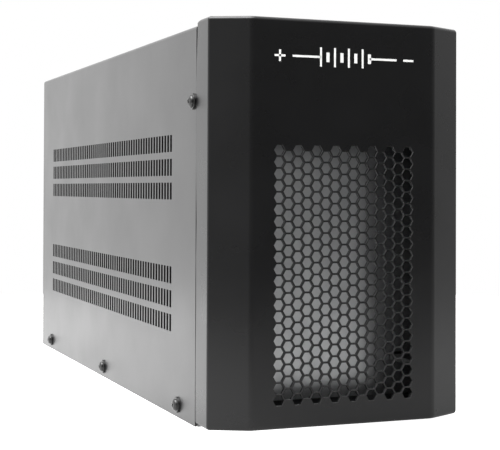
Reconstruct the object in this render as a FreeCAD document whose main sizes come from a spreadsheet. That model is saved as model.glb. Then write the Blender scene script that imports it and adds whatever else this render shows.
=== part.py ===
"""Battery pack of a tower power supply: a black sheet-steel case with a moulded honeycomb front.

The case is built round six sealed block batteries that lie on their sides in two stacks of three.
Frame: X to the right of someone facing the front, Y to the rear, Z up, in millimetres.
Pieces are drawn with y = 0 at the cover's front edge and z = 0 on the floor, and each is then
moved along Y so that the origin is under the middle of the whole pack.
"""
import FreeCAD, Part
import os

import Sketcher

doc = FreeCAD.newDocument("battery_pack")

# Driving dimensions, in millimetres apart from the counts.
SIZES = {
    # Sealed block battery and the room round the two stacks
    "levels": 3,
    "block_length": 151.0,
    "block_width": 65.0,
    "block_height": 94.0,
    "block_lid": 9.0,
    "block_round": 2.0,
    "lid_step": 0.6,
    "terminal_notch": 14.0,
    "terminal_drop": 4.0,
    "tab_width": 6.3,
    "tab_sheet": 0.8,
    "tab_length": 10.0,
    "tab_inset": 9.5,
    "base_pad": 2.0,
    "side_pad": 3.0,
    "front_pad": 4.0,
    "divider_pad": 3.0,
    "wiring_room": 43.0,
    "top_room": 10.8,
    "rear_room": 64.9,
    # Sheet-metal case
    "cover_sheet": 1.0,
    "cover_bend": 1.0,
    "cover_lift": 0.5,
    "cover_gap": 0.3,
    "tray_sheet": 1.2,
    "tray_flange": 16.0,
    "end_sheet": 1.0,
    "end_flange": 14.0,
    "end_bend": 0.8,
    "plate_inset": 1.5,
    "panel_inset": 0.6,
    "foot_vent_half": 54.0,
    "foot_vent_base": 4.2,
    "foot_vent_height": 7.0,
    # Vent rows in both sides of the cover
    "slot_height": 9.4,
    "slot_width": 15.2,
    "slot_land": 15.2,
    "row_pitch": 13.2,
    "vent_base": 45.6,
    "vent_drop": 55.8,
    "vent_front": 41.7,
    "vent_rear": 35.0,
    # Cover screws
    "screw_flange": 8.6,
    "screw_flange_sheet": 0.7,
    "screw_head": 6.4,
    "screw_rise": 3.1,
    "screw_round": 2.0,
    "screw_shank": 3.9,
    "screw_tip": 2.0,
    "screw_hole": 4.4,
    "foot_screw_up": 7.3,
    "foot_screw_front": 29.3,
    "foot_screw_rear": 33.3,
    "top_screw_in": 4.5,
    "top_screw_drop": 39.7,
    # Moulded front
    "bezel_depth": 28.5,
    "bezel_wall": 2.5,
    "bezel_seam": 0.8,
    "bezel_rise": 2.65,
    "bezel_lift": 1.6,
    "chamfer_width": 20.2,
    "chamfer_depth": 10.0,
    "flank_round": 1.2,
    "front_round": 7.0,
    "rim_round": 2.0,
    "brow_drop": 2.1,
    "brow_run": 4.5,
    "hex_across": 5.15,
    "hex_pitch": 6.1,
    "hex_base": 16.3,
    "hex_columns": 8,
    "hex_rows": 22,
    "grille_wall": 1.7,
    "grille_margin": 4.5,
    "hook_width": 8.0,
    "hook_height": 3.0,
    "hook_barb": 1.2,
    "hook_barb_length": 3.0,
    "hook_inset": 6.5,
    "hook_base": 30.0,
    "hook_drop": 18.0,
    "hook_gap": 0.3,
    # Hold-down straps
    "strap_sheet": 1.5,
    "strap_bend": 1.0,
    "strap_width": 30.0,
    "strap_pad": 2.0,
    "strap_lip": 14.0,
    "strap_foot": 26.0,
    "strap_screw_head": 7.0,
    "strap_screw_rise": 2.4,
    "strap_screw_round": 1.4,
    "strap_screw_shank": 3.4,
    "strap_screw_pitch": 18.0,
    # Push-on leads
    "boot_width": 9.0,
    "boot_height": 6.0,
    "boot_length": 13.5,
    "boot_stand_off": 1.0,
    "boot_slot_gap": 0.15,
    "wire": 4.0,
    "wire_inset": 2.6,
    "lead_bend": 12.0,
    # Fuse
    "fuse_width": 18.0,
    "fuse_length": 32.0,
    "fuse_height": 24.0,
    "fuse_gap": 8.0,
    "cartridge_length": 19.0,
    "cartridge_width": 6.0,
    "cartridge_rise": 7.0,
    "cartridge_depth": 10.0,
    "cartridge_inset": 1.5,
    "fuse_tab_inset": 6.0,
    # Direct-current sockets on the rear panel
    "socket_width": 36.0,
    "socket_height": 18.0,
    "socket_rise": 7.0,
    "socket_inside": 18.0,
    "socket_flange": 54.0,
    "socket_flange_sheet": 3.0,
    "socket_flange_round": 3.5,
    "socket_round": 1.2,
    "socket_gap": 0.3,
    "socket_up": 60.0,
    "socket_half_pitch": 34.0,
    "cavity_width": 13.0,
    "cavity_height": 12.0,
    "cavity_depth": 19.0,
    "cavity_half_pitch": 8.5,
    "contact_width": 9.0,
    "contact_sheet": 2.0,
    "contact_lift": 2.5,
    "contact_recess": 4.0,
    "contact_gap": 0.1,
    "socket_screw_head": 6.0,
    "socket_screw_rise": 2.0,
    "socket_screw_round": 1.2,
    "socket_screw_shank": 2.9,
    "socket_screw_tip": 4.0,
    "socket_screw_half_pitch": 22.5,
    "bus_sheet": 2.0,
    "bus_height": 10.0,
    "bus_offset": 14.0,
    "bus_tab_length": 9.0,
    # Vent slots of the rear panel
    "rear_slot_width": 3.0,
    "rear_slot_height": 26.0,
    "rear_slot_pitch": 8.0,
    "rear_slots": 9,
    "rear_slot_drop": 62.0,
    # How far a cutting outline runs past the piece it opens
    "overcut": 1.0,
}

sheet = doc.addObject("Spreadsheet::Sheet", "dims")
for row, (alias, number) in enumerate(SIZES.items(), start=1):
    sheet.set(f"A{row}", alias)
    sheet.set(f"B{row}", str(number))
    sheet.setAlias(f"B{row}", alias)
doc.recompute()

# Places and overall sizes that follow from the driving dimensions.
PLACES = {
    # Stacks of batteries, from the floor up
    "block_base": "dims.tray_sheet + dims.base_pad",
    "block_top": "places.block_base + dims.levels * dims.block_width",
    # Case
    "chassis_width": "2 * dims.tray_sheet + dims.side_pad + dims.block_height + dims.wiring_room",
    "chassis_half": "places.chassis_width / 2",
    "case_half": "places.chassis_half + dims.cover_gap + dims.cover_sheet",
    "case_height": "places.block_top + dims.top_room + dims.cover_sheet",
    "ceiling": "places.case_height - dims.cover_sheet - dims.cover_gap",
    "plate_back": "dims.plate_inset + dims.end_sheet",
    "foot_vent_top": "dims.foot_vent_base + dims.foot_vent_height",
    "stack_front": "places.plate_back + dims.front_pad",
    "stack_step": "dims.block_length + dims.divider_pad",
    "stack_end": "places.stack_front + places.stack_step + dims.block_length",
    "panel_front": "places.stack_end + dims.rear_room",
    "panel_back": "places.panel_front + dims.end_sheet",
    "case_depth": "places.panel_back + dims.panel_inset",
    "middle": "(dims.bezel_depth - places.panel_back - dims.socket_rise) / 2",
    # Batteries
    "block_left": "dims.tray_sheet + dims.side_pad - places.chassis_half",
    "block_right": "places.block_left + dims.block_height",
    "tab_root": "places.block_right - dims.terminal_drop",
    "tab_end": "places.tab_root + dims.tab_length",
    "tab_back": "dims.block_length - dims.tab_inset",
    "tab_row": "places.stack_front + places.tab_back",
    "rear_tab_row": "places.tab_row + places.stack_step",
    "low_tab": "places.block_base + dims.tab_inset",
    "high_tab": "places.block_base + dims.block_width - dims.tab_inset",
    "strap_base": "places.block_top + dims.strap_pad",
    # Screws
    "foot_screw_pitch": "(places.case_depth - dims.foot_screw_front - dims.foot_screw_rear) / 2",
    "top_screw_up": "places.case_height - dims.top_screw_drop",
    # Leads
    "boot_start": "places.tab_root + dims.boot_stand_off",
    "wire_line": "places.boot_start + dims.boot_length - dims.wire_inset",
    "lead_line": "places.boot_start + dims.boot_length + dims.lead_bend",
    "fuse_front": "places.rear_tab_row + 3 / 2 * dims.boot_width + dims.fuse_gap",
    "fuse_back": "places.fuse_front + dims.fuse_length",
    "fuse_top": "dims.tray_sheet + dims.fuse_height",
    "fuse_tab": "places.fuse_front + dims.fuse_tab_inset",
    "bus_front": "places.panel_front - dims.socket_inside - dims.bus_sheet",
    "bus_line": "dims.socket_up + dims.bus_offset + dims.bus_height / 2",
    "bus_foot": "dims.socket_up - dims.bus_offset - dims.bus_height",
    # Moulded front
    "bezel_top": "places.case_height + dims.bezel_rise",
    "front_half": "places.case_half - dims.chamfer_width",
    "flank": "dims.bezel_depth - dims.chamfer_depth",
    "hex_step": "dims.hex_pitch * sqrt(3)",
    "hex_left": "-(dims.hex_columns - 1) / 2 * places.hex_step",
    "hook_side": "places.front_half - dims.hook_inset",
    "hook_high": "places.case_height - dims.hook_drop",
    "hook_catch": "places.plate_back + dims.hook_gap",
    "hook_end": "places.hook_catch + dims.hook_barb_length",
}

places = doc.addObject("App::VarSet", "places")
for name, expression in PLACES.items():
    places.addProperty("App::PropertyFloat", name)
    places.setExpression(name, expression)
    doc.recompute()


def value(expression):
    """The number that an expression of the sheet stands for now."""
    return float(places.evalExpression(expression))


def new_body(label):
    """An empty piece, moved so that the whole pack is centred over the origin."""
    body = doc.addObject("PartDesign::Body", label)
    body.Label = label
    body.setExpression(".Placement.Base.y", "places.middle")
    return body


def new_sketch(body, role, at="0"):
    """A sketch on one of the piece's own planes, set off along X, Y or Z by an expression."""
    sketch = body.newObject("Sketcher::SketchObject", "sketch")
    plane = [feature for feature in body.Origin.OriginFeatures if feature.Role == role][0]
    sketch.AttachmentSupport = (plane, [""])
    sketch.MapMode = "FlatFace"
    along = f"-({at})" if role == "XZ_Plane" else at
    sketch.setExpression(".AttachmentOffset.Base.z", along)
    return sketch


def lock(sketch, line, across, up):
    """Fixes the first point of a line at a place given by two expressions."""
    for kind, expression in (("DistanceX", across), ("DistanceY", up)):
        index = sketch.addConstraint(Sketcher.Constraint(kind, -1, 1, line, 1, value(expression)))
        sketch.setExpression(f"Constraints[{index}]", expression)


def outline(sketch, points):
    """A closed outline of straight lines through points given as pairs of expressions."""
    first = sketch.GeometryCount
    count = len(points)
    corners = [FreeCAD.Vector(value(across), value(up), 0) for across, up in points]
    for k in range(count):
        sketch.addGeometry(Part.LineSegment(corners[k], corners[(k + 1) % count]), False)
    for k in range(count):
        joint = Sketcher.Constraint("Coincident", first + k, 2, first + (k + 1) % count, 1)
        sketch.addConstraint(joint)
    for k, (across, up) in enumerate(points):
        lock(sketch, first + k, across, up)


def rectangle(sketch, left, right, low, high):
    """A rectangle between four expressions."""
    outline(sketch, [(left, low), (right, low), (right, high), (left, high)])


def circle(sketch, across, up, diameter):
    """A circle about a place given by two expressions."""
    centre = FreeCAD.Vector(value(across), value(up), 0)
    ring = Part.Circle(centre, FreeCAD.Vector(0, 0, 1), value(diameter) / 2)
    index = sketch.addGeometry(ring, False)
    size = sketch.addConstraint(Sketcher.Constraint("Diameter", index, value(diameter)))
    sketch.setExpression(f"Constraints[{size}]", diameter)
    for kind, expression in (("DistanceX", across), ("DistanceY", up)):
        place = sketch.addConstraint(Sketcher.Constraint(kind, -1, 1, index, 3, value(expression)))
        sketch.setExpression(f"Constraints[{place}]", expression)


def pad(body, sketch, length, reverse=False, both=False):
    """Material along the sketch's normal, against it, or to both sides of it."""
    feature = body.newObject("PartDesign::Pad", "pad")
    feature.Profile = sketch
    feature.setExpression("Length", length)
    feature.Reversed = reverse
    if both:
        feature.SideType = "Symmetric"
    doc.recompute()
    return feature


def cut(body, sketch, length=None, reverse=False, both=False):
    """A cut against the sketch's normal, along it, or right through to both sides."""
    before = body.Shape.Volume
    feature = body.newObject("PartDesign::Pocket", "cut")
    feature.Profile = sketch
    feature.Reversed = reverse
    if length is None:
        feature.Type = "ThroughAll"
    else:
        feature.setExpression("Length", length)
    if both:
        feature.SideType = "Symmetric"
    doc.recompute()
    if near(body.Shape.Volume, before):
        raise RuntimeError(f"{body.Label}: a cut removed nothing")
    return feature


def round_edges(body, radius, chosen):
    """Rounds the edges of the piece so far that a test picks out by their middle point."""
    base = body.Tip
    names = []
    for k, edge in enumerate(base.Shape.Edges, start=1):
        middle = edge.valueAt((edge.FirstParameter + edge.LastParameter) / 2)
        if chosen(edge, middle):
            names.append(f"Edge{k}")
    feature = body.newObject("PartDesign::Fillet", "round")
    feature.Base = (base, names)
    feature.setExpression("Radius", radius)
    doc.recompute()
    return feature


def grid(body, feature, sketch, rows, row_step, columns, column_step):
    """Repeats a feature along the sketch's own two directions."""
    repeat = body.newObject("PartDesign::MultiTransform", "grid")
    repeat.Originals = [feature]
    steps = []
    for axis, count, step in (("V_Axis", rows, row_step), ("H_Axis", columns, column_step)):
        line = body.newObject("PartDesign::LinearPattern", "line")
        line.Direction = (sketch, [axis])
        line.Mode = "Spacing"
        line.setExpression("Offset", step)
        line.setExpression("Occurrences", count)
        steps.append(line)
    repeat.Transformations = steps
    body.Tip = repeat
    doc.recompute()
    return repeat


def mirror_sides(body):
    """Copies the whole piece so far to the other side of the pack."""
    plane = [feature for feature in body.Origin.OriginFeatures if feature.Role == "YZ_Plane"][0]
    copy = body.newObject("PartDesign::Mirrored", "mirror")
    copy.TransformMode = "Whole shape"
    copy.MirrorPlane = (plane, [""])
    body.Tip = copy
    doc.recompute()


# Lengths closer than this count as the same.
TOLERANCE = 1e-4


def near(a, b):
    """Whether two lengths are the same."""
    return abs(a - b) < TOLERANCE


def along(edge, axis):
    """Whether an edge is straight and runs along an axis."""
    if not isinstance(edge.Curve, Part.Line):
        return False
    return near(abs(edge.Curve.Direction.dot(axis)), 1)


AXIS_X = FreeCAD.Vector(1, 0, 0)
AXIS_Y = FreeCAD.Vector(0, 1, 0)
AXIS_Z = FreeCAD.Vector(0, 0, 1)


def round_corners(body, radius, corners):
    """Rounds the edges along Y that stand at corners given by pairs of expressions."""
    spots = [(value(across), value(up)) for across, up in corners]
    round_edges(body, radius, lambda edge, at: along(edge, AXIS_Y)
                and any(near(at.x, across) and near(at.z, up) for across, up in spots))


def foot_screw_circles(sketch, diameter):
    """Three screw places along the foot of one side."""
    for k in range(3):
        across = f"dims.foot_screw_front + {k} * places.foot_screw_pitch"
        circle(sketch, across, "dims.foot_screw_up", diameter)


def side_screw_circles(sketch, diameter):
    """The screw places of one side: those along the foot and one at the front edge."""
    foot_screw_circles(sketch, diameter)
    circle(sketch, "dims.top_screw_in", "places.top_screw_up", diameter)


def make_cover():
    """Hood folded from one sheet: top and both sides, with vent rows and screw holes in the sides."""
    body = new_body("cover")
    section = new_sketch(body, "XZ_Plane")
    inner = "places.case_half - dims.cover_sheet"
    under = "places.case_height - dims.cover_sheet"
    outline(section, [
        ("-places.case_half", "dims.cover_lift"),
        ("-places.case_half", "places.case_height"),
        ("places.case_half", "places.case_height"),
        ("places.case_half", "dims.cover_lift"),
        (inner, "dims.cover_lift"),
        (inner, under),
        (f"-({inner})", under),
        (f"-({inner})", "dims.cover_lift"),
    ])
    pad(body, section, "places.case_depth", reverse=True)
    top = value("places.case_height")
    ceiling = value(under)
    round_edges(body, "dims.cover_bend + dims.cover_sheet",
                lambda edge, at: along(edge, AXIS_Y) and near(at.z, top))
    round_edges(body, "dims.cover_bend",
                lambda edge, at: along(edge, AXIS_Y) and near(at.z, ceiling)
                and near(abs(at.x), value(inner)))
    holes = new_sketch(body, "YZ_Plane")
    side_screw_circles(holes, "dims.screw_hole")
    cut(body, holes, both=True)
    vents = new_sketch(body, "YZ_Plane")
    vent_end = "dims.vent_front + dims.slot_width"
    for k in range(3):
        low = f"dims.vent_base + {k} * dims.row_pitch"
        rectangle(vents, "dims.vent_front", vent_end, low, f"{low} + dims.slot_height")
        high = f"places.case_height - dims.vent_drop - {k} * dims.row_pitch"
        rectangle(vents, "dims.vent_front", vent_end, f"{high} - dims.slot_height", high)
    slots = cut(body, vents, both=True)
    row = body.newObject("PartDesign::LinearPattern", "slot_rows")
    row.Originals = [slots]
    row.Direction = (vents, ["H_Axis"])
    row.Mode = "Spacing"
    row.setExpression("Offset", "dims.slot_width + dims.slot_land")
    room = "places.case_depth - dims.vent_front - dims.vent_rear + dims.slot_land"
    row.setExpression("Occurrences", f"floor(({room}) / (dims.slot_width + dims.slot_land))")
    body.Tip = row
    doc.recompute()
    return body


def make_base_tray():
    """Chassis floor with a flange up each side, tapped for the foot screws."""
    body = new_body("base_tray")
    section = new_sketch(body, "XZ_Plane", "dims.plate_inset")
    inner = "places.chassis_half - dims.tray_sheet"
    outline(section, [
        ("-places.chassis_half", "0"),
        ("places.chassis_half", "0"),
        ("places.chassis_half", "dims.tray_flange"),
        (inner, "dims.tray_flange"),
        (inner, "dims.tray_sheet"),
        (f"-({inner})", "dims.tray_sheet"),
        (f"-({inner})", "dims.tray_flange"),
        ("-places.chassis_half", "dims.tray_flange"),
    ])
    pad(body, section, "places.panel_back - dims.plate_inset", reverse=True)
    bottom = value("places.chassis_half")
    round_edges(body, "dims.tray_sheet",
                lambda edge, at: along(edge, AXIS_Y) and near(at.z, 0) and near(abs(at.x), bottom))
    ends = new_sketch(body, "YZ_Plane")
    clear = "(dims.end_flange + dims.cover_gap)"
    above = "dims.tray_flange + dims.overcut"
    rectangle(ends, "dims.plate_inset - dims.overcut", f"dims.plate_inset + {clear}",
              "dims.tray_sheet", above)
    rectangle(ends, f"places.panel_back - {clear}", "places.panel_back + dims.overcut",
              "dims.tray_sheet", above)
    cut(body, ends, both=True)
    holes = new_sketch(body, "YZ_Plane")
    foot_screw_circles(holes, "dims.screw_shank")
    cut(body, holes, both=True)
    taps = new_sketch(body, "XY_Plane", "dims.tray_sheet")
    strap_screw_circles(taps, "dims.strap_screw_shank")
    cut(body, taps)
    return body


def make_front_plate():
    """End wall behind the moulded front: a pan with four flanges, hook slots and an air slot at its foot."""
    body = new_body("front_plate")
    face = new_sketch(body, "XZ_Plane", "dims.plate_inset")
    rectangle(face, "-places.chassis_half", "places.chassis_half", "dims.tray_sheet", "places.ceiling")
    pad(body, face, "dims.end_flange", reverse=True)
    front = value("dims.plate_inset")
    round_edges(body, "dims.end_bend", lambda edge, at: near(at.y, front))
    inside = new_sketch(body, "XZ_Plane", "dims.plate_inset + dims.end_flange")
    inner = "places.chassis_half - dims.end_sheet"
    rectangle(inside, f"-({inner})", inner,
              "dims.tray_sheet + dims.end_sheet", "places.ceiling - dims.end_sheet")
    cut(body, inside, "dims.end_flange - dims.end_sheet", reverse=True)
    taps = new_sketch(body, "YZ_Plane")
    circle(taps, "dims.top_screw_in", "places.top_screw_up", "dims.screw_shank")
    cut(body, taps, both=True)
    slots = new_sketch(body, "XZ_Plane", "dims.plate_inset")
    hook_rectangles(slots, "dims.hook_gap", "dims.hook_barb")
    rectangle(slots, "-dims.foot_vent_half", "dims.foot_vent_half",
              "dims.foot_vent_base", "places.foot_vent_top")
    cut(body, slots, "dims.end_sheet")
    return body


def make_rear_panel():
    """End wall at the rear: a pan with four flanges, socket cut-outs and a row of vent slots."""
    body = new_body("rear_panel")
    face = new_sketch(body, "XZ_Plane", "places.panel_back - dims.end_flange")
    rectangle(face, "-places.chassis_half", "places.chassis_half", "dims.tray_sheet", "places.ceiling")
    pad(body, face, "dims.end_flange", reverse=True)
    back = value("places.panel_back")
    round_edges(body, "dims.end_bend", lambda edge, at: near(at.y, back))
    inside = new_sketch(body, "XZ_Plane", "places.panel_back - dims.end_flange")
    inner = "places.chassis_half - dims.end_sheet"
    rectangle(inside, f"-({inner})", inner,
              "dims.tray_sheet + dims.end_sheet", "places.ceiling - dims.end_sheet")
    cut(body, inside, "dims.end_flange - dims.end_sheet")
    windows = new_sketch(body, "XZ_Plane", "places.panel_front")
    reach = "dims.socket_width / 2 + dims.socket_gap"
    tall = "dims.socket_height / 2 + dims.socket_gap"
    for side in ("-", ""):
        middle = f"{side}dims.socket_half_pitch"
        rectangle(windows, f"{middle} - ({reach})", f"{middle} + {reach}",
                  f"dims.socket_up - ({tall})", f"dims.socket_up + {tall}")
    socket_screw_circles(windows, "dims.socket_screw_shank")
    cut(body, windows)
    vents = new_sketch(body, "XZ_Plane", "places.panel_front")
    left = "-(dims.rear_slots - 1) / 2 * dims.rear_slot_pitch - dims.rear_slot_width / 2"
    high = "places.case_height - dims.rear_slot_drop"
    rectangle(vents, left, f"{left} + dims.rear_slot_width", f"{high} - dims.rear_slot_height", high)
    slot = cut(body, vents)
    row = body.newObject("PartDesign::LinearPattern", "rear_slots")
    row.Originals = [slot]
    row.Direction = (vents, ["H_Axis"])
    row.Mode = "Spacing"
    row.setExpression("Offset", "dims.rear_slot_pitch")
    row.setExpression("Occurrences", "dims.rear_slots")
    body.Tip = row
    doc.recompute()
    return body


def hook_rectangles(sketch, gap, above="0"):
    """The four snap-hook places behind the moulded front, widened by a gap."""
    for side in ("-", ""):
        middle = f"{side}places.hook_side"
        left = f"{middle} - dims.hook_width / 2 - {gap}"
        right = f"{middle} + dims.hook_width / 2 + {gap}"
        for low in ("dims.hook_base", "places.hook_high"):
            rectangle(sketch, left, right, f"{low} - {gap}", f"{low} + dims.hook_height + {above} + {gap}")


def make_honeycomb():
    """The six-sided openings of the grille, points to the left and right, as one cutting tool."""
    point = value("dims.hex_across / sqrt(3)")
    half = value("dims.hex_across / 2")
    corners = [(point, 0), (point / 2, half), (-point / 2, half),
               (-point, 0), (-point / 2, -half), (point / 2, -half)]
    start = value("-dims.bezel_depth - dims.bezel_wall")
    through = FreeCAD.Vector(0, value("3 * dims.bezel_wall"), 0)
    cells = []
    for shift, fewer in ((0, 0), (0.5, 1)):
        for column in range(int(value("dims.hex_columns")) - fewer):
            for row in range(int(value("dims.hex_rows")) - fewer):
                x = value("places.hex_left") + (column + shift) * value("places.hex_step")
                z = value("dims.hex_base") + (row + shift) * value("dims.hex_pitch")
                ring = [FreeCAD.Vector(x + dx, start, z + dz) for dx, dz in corners]
                cells.append(Part.Face(Part.makePolygon(ring + ring[:1])).extrude(through))
    honeycomb = doc.addObject("Part::Feature", "honeycomb")
    honeycomb.Shape = Part.makeCompound(cells)
    honeycomb.setExpression(".Placement.Base.y", "places.middle")
    return honeycomb


def make_front_bezel():
    """Moulded front: a hollow shell with chamfered sides, a honeycomb grille and four snap hooks.

    Its top slopes down to the cover at the rear, and its wall is thinner behind the grille.
    """
    body = new_body("bezel_shell")
    plan = new_sketch(body, "XY_Plane", "dims.bezel_lift")
    outline(plan, [
        ("-places.case_half", "-dims.bezel_seam"),
        ("-places.case_half", "-places.flank"),
        ("-places.front_half", "-dims.bezel_depth"),
        ("places.front_half", "-dims.bezel_depth"),
        ("places.case_half", "-places.flank"),
        ("places.case_half", "-dims.bezel_seam"),
    ])
    pad(body, plan, "places.bezel_top - dims.bezel_lift")
    outer = value("places.case_half")
    back = value("-dims.bezel_seam")
    front = value("-dims.bezel_depth")
    round_edges(body, "dims.front_round", lambda edge, at: along(edge, AXIS_Z) and near(at.y, front))
    base = body.Tip
    open_face = [k for k, face in enumerate(base.Shape.Faces, start=1)
                 if near(face.CenterOfMass.y, back)][0]
    shell = body.newObject("PartDesign::Thickness", "shell")
    shell.Base = (base, [f"Face{open_face}"])
    shell.setExpression("Value", "dims.bezel_wall")
    shell.Reversed = True
    doc.recompute()
    round_edges(body, "dims.flank_round",
                lambda edge, at: along(edge, AXIS_Z) and near(abs(at.x), outer) and not near(at.y, back))
    ends = (value("dims.bezel_lift"), value("places.bezel_top"))
    round_edges(body, "dims.rim_round",
                lambda edge, at: any(near(at.z, end) for end in ends) and not near(at.y, back))
    brow = new_sketch(body, "YZ_Plane")
    over = "places.bezel_top + dims.overcut"
    behind = "dims.overcut - dims.bezel_seam"
    outline(brow, [
        ("-dims.bezel_seam - dims.brow_run", "places.bezel_top"),
        (behind, "places.bezel_top - dims.brow_drop * (1 + dims.overcut / dims.brow_run)"),
        (behind, over),
        ("-dims.bezel_seam - dims.brow_run", over),
    ])
    cut(body, brow, both=True)
    thinning = new_sketch(body, "XZ_Plane", "dims.bezel_wall - dims.bezel_depth")
    rectangle(thinning, "places.hex_left - dims.grille_margin", "dims.grille_margin - places.hex_left",
              "dims.hex_base - dims.grille_margin",
              "dims.hex_base + (dims.hex_rows - 1) * dims.hex_pitch + dims.grille_margin")
    cut(body, thinning, "dims.bezel_wall - dims.grille_wall", reverse=True)
    posts = new_sketch(body, "XZ_Plane", "dims.bezel_wall / 2 - dims.bezel_depth")
    hook_rectangles(posts, "0")
    pad(body, posts, "places.hook_end + dims.bezel_depth - dims.bezel_wall / 2", reverse=True)
    for side in ("-", ""):
        barbs = new_sketch(body, "YZ_Plane", f"{side}places.hook_side")
        for low in ("dims.hook_base", "places.hook_high"):
            root = f"{low} + dims.hook_height"
            outline(barbs, [("places.hook_catch", root), ("places.hook_end", root),
                            ("places.hook_catch", f"{root} + dims.hook_barb")])
        pad(body, barbs, "dims.hook_width", both=True)
    bezel = doc.addObject("Part::Cut", "front_bezel")
    bezel.Label = "front_bezel"
    bezel.Base = body
    bezel.Tool = make_honeycomb()
    bezel.Refine = False
    return bezel


def make_cover_screws():
    """Black flanged screws with domed heads that hold the cover to the tray and the front plate."""
    body = new_body("cover_screws")
    flanges = new_sketch(body, "YZ_Plane", "places.case_half")
    side_screw_circles(flanges, "dims.screw_flange")
    pad(body, flanges, "dims.screw_flange_sheet")
    heads = new_sketch(body, "YZ_Plane", "places.case_half")
    side_screw_circles(heads, "dims.screw_head")
    pad(body, heads, "dims.screw_rise")
    outer = value("places.case_half + dims.screw_rise")
    round_edges(body, "dims.screw_round", lambda edge, at: near(at.x, outer))
    shanks = new_sketch(body, "YZ_Plane", "places.case_half")
    side_screw_circles(shanks, "dims.screw_shank")
    through = "dims.cover_sheet + dims.cover_gap + dims.tray_sheet"
    pad(body, shanks, f"{through} + dims.screw_tip", reverse=True)
    mirror_sides(body)
    return body


def make_battery(label, stack, level):
    """Sealed block battery on its side: container, stepped lid and two terminal notches at one end."""
    body = new_body(label)
    start = f"places.stack_front + {stack} * places.stack_step"
    body.setExpression(".Placement.Base.y", f"places.middle + {start}")
    body.setExpression(".Placement.Base.z", f"places.block_base + {level} * dims.block_width")
    container = new_sketch(body, "YZ_Plane", "places.block_left")
    rectangle(container, "0", "dims.block_length", "0", "dims.block_width")
    pad(body, container, "dims.block_height - dims.block_lid")
    round_edges(body, "dims.block_round", lambda edge, at: along(edge, AXIS_X))
    lid = new_sketch(body, "YZ_Plane", "places.block_right - dims.block_lid")
    rectangle(lid, "dims.lid_step", "dims.block_length - dims.lid_step",
              "dims.lid_step", "dims.block_width - dims.lid_step")
    pad(body, lid, "dims.block_lid")
    notches = new_sketch(body, "YZ_Plane", "places.block_right")
    reach = "dims.tab_inset + dims.terminal_notch / 2"
    inner = f"dims.block_length - ({reach})"
    beyond = "dims.block_length + dims.overcut"
    rectangle(notches, inner, beyond, "-dims.overcut", reach)
    rectangle(notches, inner, beyond, f"dims.block_width - ({reach})",
              "dims.block_width + dims.overcut")
    cut(body, notches, "dims.terminal_drop")
    return body


def tab_pair(sketch, low, high, width, thickness):
    """The cross-sections of the tabs at two heights of the front stack."""
    for up in (low, high):
        rectangle(sketch, f"places.tab_row - {width} / 2", f"places.tab_row + {width} / 2",
                  f"{up} - {thickness} / 2", f"{up} + {thickness} / 2")


def make_battery_tabs():
    """Plated push-on tabs, two on each block."""
    body = new_body("battery_tabs")
    section = new_sketch(body, "YZ_Plane", "places.tab_root")
    tab_pair(section, "places.low_tab", "places.high_tab", "dims.tab_width", "dims.tab_sheet")
    tabs = pad(body, section, "dims.tab_length")
    grid(body, tabs, section, "dims.levels", "dims.block_width", "2", "places.stack_step")
    return body


def make_pad(label, left, right, front, back, low, high):
    """A flat foam pad between six expressions."""
    body = new_body(label)
    section = new_sketch(body, "XY_Plane", low)
    rectangle(section, left, right, front, back)
    pad(body, section, f"{high} - ({low})")
    return body


def make_pads():
    """Foam under, before and between the stacks, and down their left side."""
    left, right = "places.block_left", "places.block_right"
    low, high = "places.block_base", "places.block_top"
    gap = "places.stack_front + dims.block_length"
    pads = [
        make_pad("base_pad", left, right, "dims.plate_inset + dims.end_flange + dims.cover_gap",
                 "places.stack_end", "dims.tray_sheet", low),
        make_pad("front_pad", "dims.hook_width - places.hook_side", right,
                 "places.plate_back", "places.stack_front", "places.foot_vent_top + dims.front_pad", high),
        make_pad("divider_pad", left, right, gap, f"{gap} + dims.divider_pad", low, high),
    ]
    for k, label in enumerate(("side_pad_front", "side_pad_rear")):
        screw = f"dims.foot_screw_front + {k} * places.foot_screw_pitch"
        pads.append(make_pad(label, f"{left} - dims.side_pad", left, f"{screw} + dims.screw_shank",
                             f"{screw} + places.foot_screw_pitch - dims.screw_shank",
                             "dims.tray_sheet", "dims.tray_flange"))
    return pads


def strap_middle(stack):
    """Where the strap of a stack lies along the pack."""
    return f"places.stack_front + dims.block_length / 2 + {stack} * places.stack_step"


def strap_screw_circles(sketch, diameter, stacks=(0, 1)):
    """Two screw places in the foot of the strap of each stack."""
    across = "places.block_right + dims.strap_sheet + dims.strap_foot / 2"
    for stack in stacks:
        for side in ("-", "+"):
            circle(sketch, across, f"{strap_middle(stack)} {side} dims.strap_screw_pitch / 2", diameter)


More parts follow.
